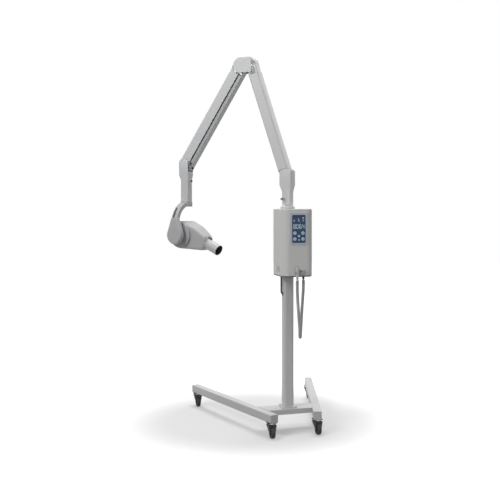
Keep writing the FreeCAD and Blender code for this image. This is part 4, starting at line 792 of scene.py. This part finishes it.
def front_casting():
    low = wrist_z - 44
    tube = prism(box_outline(wrist_x - 26, wrist_x + 26, -26, 26, 10), drop_tube_end_z, wrist_z - 70)
    flare = loft(box_outline(wrist_x - 26, wrist_x + 26, -26, 26, 10), wrist_z - 70,
                 box_outline(wrist_x - 29, wrist_x + 35, -cheek_out, cheek_out, 10), low)
    lobe = [(x + wrist_x, z) for x, z in arc_top(47, wrist_z)]
    dome = prism([(wrist_x - 90, low - 1), (wrist_x + 90, low - 1), (wrist_x + 90, wrist_z), *lobe,
                  (wrist_x - 90, wrist_z)], -50, 50, "y")
    crown = worked(prism(box_outline(wrist_x - 29, wrist_x + 35, -cheek_out, cheek_out, 10), low, wrist_z + 50),
                   ("common", dome))
    throat = prism(box_outline(wrist_x - 26, wrist_x + 32, -cheek_in, cheek_in), wrist_z - 39, wrist_z + 90)
    window = prism(box_outline(wrist_x - 90, wrist_x - 25, -cheek_in, cheek_in), wrist_z - 25, wrist_z + 90)
    return worked(tube, ("fuse", flare), ("fuse", crown), ("cut", throat), ("cut", window))


finish("front_knuckle_casting", softened(front_casting(), 1.2), in_arm_plane(Matrix()), "wrist", arm_paint,
       "front_knuckle")
brake_washer = prism(circle(7.0, 0, brake_knob_z, 48), wrist_x - 31, wrist_x - 29.5, "x")
finish("brake_washer", brake_washer, in_arm_plane(Matrix()), "wrist", ring_white)

# Yoke
# A cast swan neck that widens into the tilt disc on one side of the head, slotted on its back, with a dark sheet in
# the slot as painted shade.

head_paint = coated("head_paint", (0.50, 0.50, 0.51), rough=0.40, grain=800.0)
tilt_axis_z = wrist_z - 386
yoke_turn = 128.6 + 40
disc_radius = 53.0
neck_half = 21.5
neck_top = 98.0
yoke_frame = in_arm_plane(shift(wrist_x, 0, tilt_axis_z) @ turn("Z", yoke_turn))
yoke_top = 1252 - tilt_axis_z


def arc_through(first, middle, last, steps=20):
    """Points of the arc from first through middle to last."""
    (ax, ay), (bx, by), (cx, cy) = first, middle, last
    d = 2 * (ax * (by - cy) + bx * (cy - ay) + cx * (ay - by))
    ux = ((ax * ax + ay * ay) * (by - cy) + (bx * bx + by * by) * (cy - ay) + (cx * cx + cy * cy) * (ay - by)) / d
    uy = ((ax * ax + ay * ay) * (cx - bx) + (bx * bx + by * by) * (ax - cx) + (cx * cx + cy * cy) * (bx - ax)) / d
    centre = Vector((ux, uy))
    start = Vector(first) - centre
    sweep = start.angle_signed(Vector(middle) - centre) + (Vector(middle) - centre).angle_signed(Vector(last) - centre)
    return [tuple(centre + Matrix.Rotation(-sweep * k / steps, 2) @ start) for k in range(steps + 1)]


def swan_neck():
    outside = arc_through((-27, yoke_top - 3), (-88, 136), (-108, 66))
    inside = arc_through((-84, 62), (-67, 125), (-21, 161))
    outline = [(0, 161), (0, yoke_top - 3), *outside, (-108, 0), (-84, 0), *inside]
    return prism(outline, -neck_half, neck_half, "x")


def paddle():
    angle = math.atan2(neck_top, neck_half) - math.acos(disc_radius / math.hypot(neck_half, neck_top))
    low = [(disc_radius * math.cos(a), disc_radius * math.sin(a)) for a in
           [angle - (math.pi + 2 * angle) * i / 48 for i in range(49)]]
    return prism([(neck_half, neck_top), *low, (-neck_half, neck_top)], -108, -84, "y")


def slot_block(width, depth, length):
    slot = prism(box_outline(-width, 0, -depth / 2, depth / 2), -length / 2, length / 2)
    slot.data.transform(shift(0, -91, 127) @ turn("X", -36))
    return slot


casting = worked(softened(swan_neck(), 3.0, 60), ("fuse", softened(paddle(), 3.0, 60)),
                 ("fuse", softened(prism(box_outline(-27, 27, -27, 27, 10), 161, yoke_top), 1.5)),
                 ("cut", slot_block(12, 20, 66)))
finish("yoke_casting", casting, yoke_frame, "yoke", head_paint, "yoke_arm")
# A dark sheet just inside the slot's walls: painted shade in the slot.
slot_shade_sheet = worked(swan_neck(), ("common", slot_block(11.5, 19.5, 65)))
middle = sum((v.co for v in slot_shade_sheet.data.vertices), Vector()) / len(slot_shade_sheet.data.vertices)
sunk = Matrix.Diagonal((0.98, 0.93, 0.93, 1))
slot_shade_sheet.data.transform(Matrix.Translation(middle) @ sunk @ Matrix.Translation(-middle))
finish("yoke_slot_painted_shade", slot_shade_sheet, yoke_frame, "yoke", knob_dark)

# Tube head
# Two moulded halves round the x-ray tube: a drum on the tilt axis and a nose drawn in to the cone's boss.

head_plastic = coated("head_plastic", (0.50, 0.50, 0.51), rough=0.42, grain=950.0, relief=0.00004)
dress(head_plastic, "head_side_ring", "cone_collar", "tilt_cap")

drum_radius = 78.0
drum_half = 57.0
nose_reach = 168.0
head_round = 13.0
spine_end = 118.0
spine_rise = 0.16


def head_width(x):
    """Half of the head's width at a distance along the beam."""
    reach = min(1.0, max(0.0, (x - 20) / (nose_reach - 20)))
    return drum_half + (35.0 - drum_half) * (reach ** 1.12)


def head_side(inset):
    """Side outline of drum and nose, moved in by an inset, with a fixed number of points."""
    lean = math.atan2(-20, nose_reach - 8)
    touch = lean - math.acos(drum_radius / math.hypot(nose_reach - 8, 20))
    radius = drum_radius - inset
    tip = nose_reach - inset
    foot = (radius * math.cos(touch), radius * math.sin(touch))
    nose = rounded((foot, (tip, -20 + inset, 16 - inset), (tip, 58 - inset, 30 - inset),
                    (70, radius, 60 - inset), (0, radius)), 10)
    turn_left = 2 * math.pi + touch - math.pi / 2
    drum = [(radius * math.cos(math.pi / 2 + turn_left * i / 48), radius * math.sin(math.pi / 2 + turn_left * i / 48))
            for i in range(1, 48)]
    return nose + drum


def head_form():
    rings = []
    for k in range(7):
        bend = math.pi / 2 * k / 6
        inset = head_round * (1 - math.cos(bend))
        rings.append([(x, head_width(x) - head_round * (1 - math.sin(bend)), z) for x, z in head_side(inset)])
    for k in (0.3, 0.6, 0.85, 1.0):
        ring = []
        for x, z in head_side(head_round):
            spine_x = min(max(x, 0.0), spine_end)
            spine_z = spine_x * spine_rise
            x1 = x + (spine_x - x) * k
            ring.append((x1, head_width(x1), z + (spine_z - z) * k))
        rings.append(ring)
    form = bmesh.new()
    loops = [[form.verts.new((x, -y, z)) for x, y, z in ring] for ring in reversed(rings)]
    loops += [[form.verts.new(spot) for spot in ring] for ring in rings]
    for before, after in zip(loops, loops[1:]):
        for i in range(len(before)):
            form.faces.new((before[i - 1], before[i], after[i], after[i - 1]))
    bmesh.ops.remove_doubles(form, verts=form.verts, dist=0.05)
    bmesh.ops.dissolve_degenerate(form, edges=form.edges, dist=0.02)
    bmesh.ops.recalc_face_normals(form, faces=form.faces)
    return shaped("form", form)


beam_dip = turn("Y", 24)
beam_rise = 19.0
lamp_rise = 56.0
seam_low = 37.6
seam_high = 38.4
in_head = yoke_frame @ millimetre @ beam_dip @ millimetre.inverted()
near_side = prism(box_outline(-300, 300, -300, seam_low), -300, 300)
near = worked(head_form(), ("fuse", prism(circle(32, 0, beam_rise, 72), 154, 168, "x")), ("common", near_side),
              ("cut", prism(circle(26, 0, beam_rise, 72), 130, 190, "x")))
finish("head_near_moulding", near, in_head, "tube_head", head_plastic, "head_shell")
far = worked(head_form(), ("common", prism(box_outline(-300, 300, seam_high, 300), -300, 300)))
finish("head_far_moulding", far, in_head, "tube_head", head_plastic, "head_cover")
lamp = softened(prism(circle(4, 0, lamp_rise, 40), 146, 184, "x"), 1.2)
finish("aiming_lamp", lamp, in_head, "tube_head", knob_dark, "cone_lamp")
cone_plastic = coated("cone_plastic", (0.56, 0.56, 0.555), rough=0.36, grain=1200.0, relief=0.00003)
dress(cone_plastic, "cone")
cone_dark = coated("cone_inner_black", (0.03, 0.03, 0.032), rough=0.6, grain=900.0)
inner = worked(prism(circle(27.9, 0, beam_rise, 72), 160, 251, "x"),
               ("cut", prism(circle(27.2, 0, beam_rise, 72), 165, 260, "x")))
finish("cone_lead_lining", inner, in_head, "tube_head", cone_dark)

bpy.context.scene.view_settings.view_transform = "Standard"
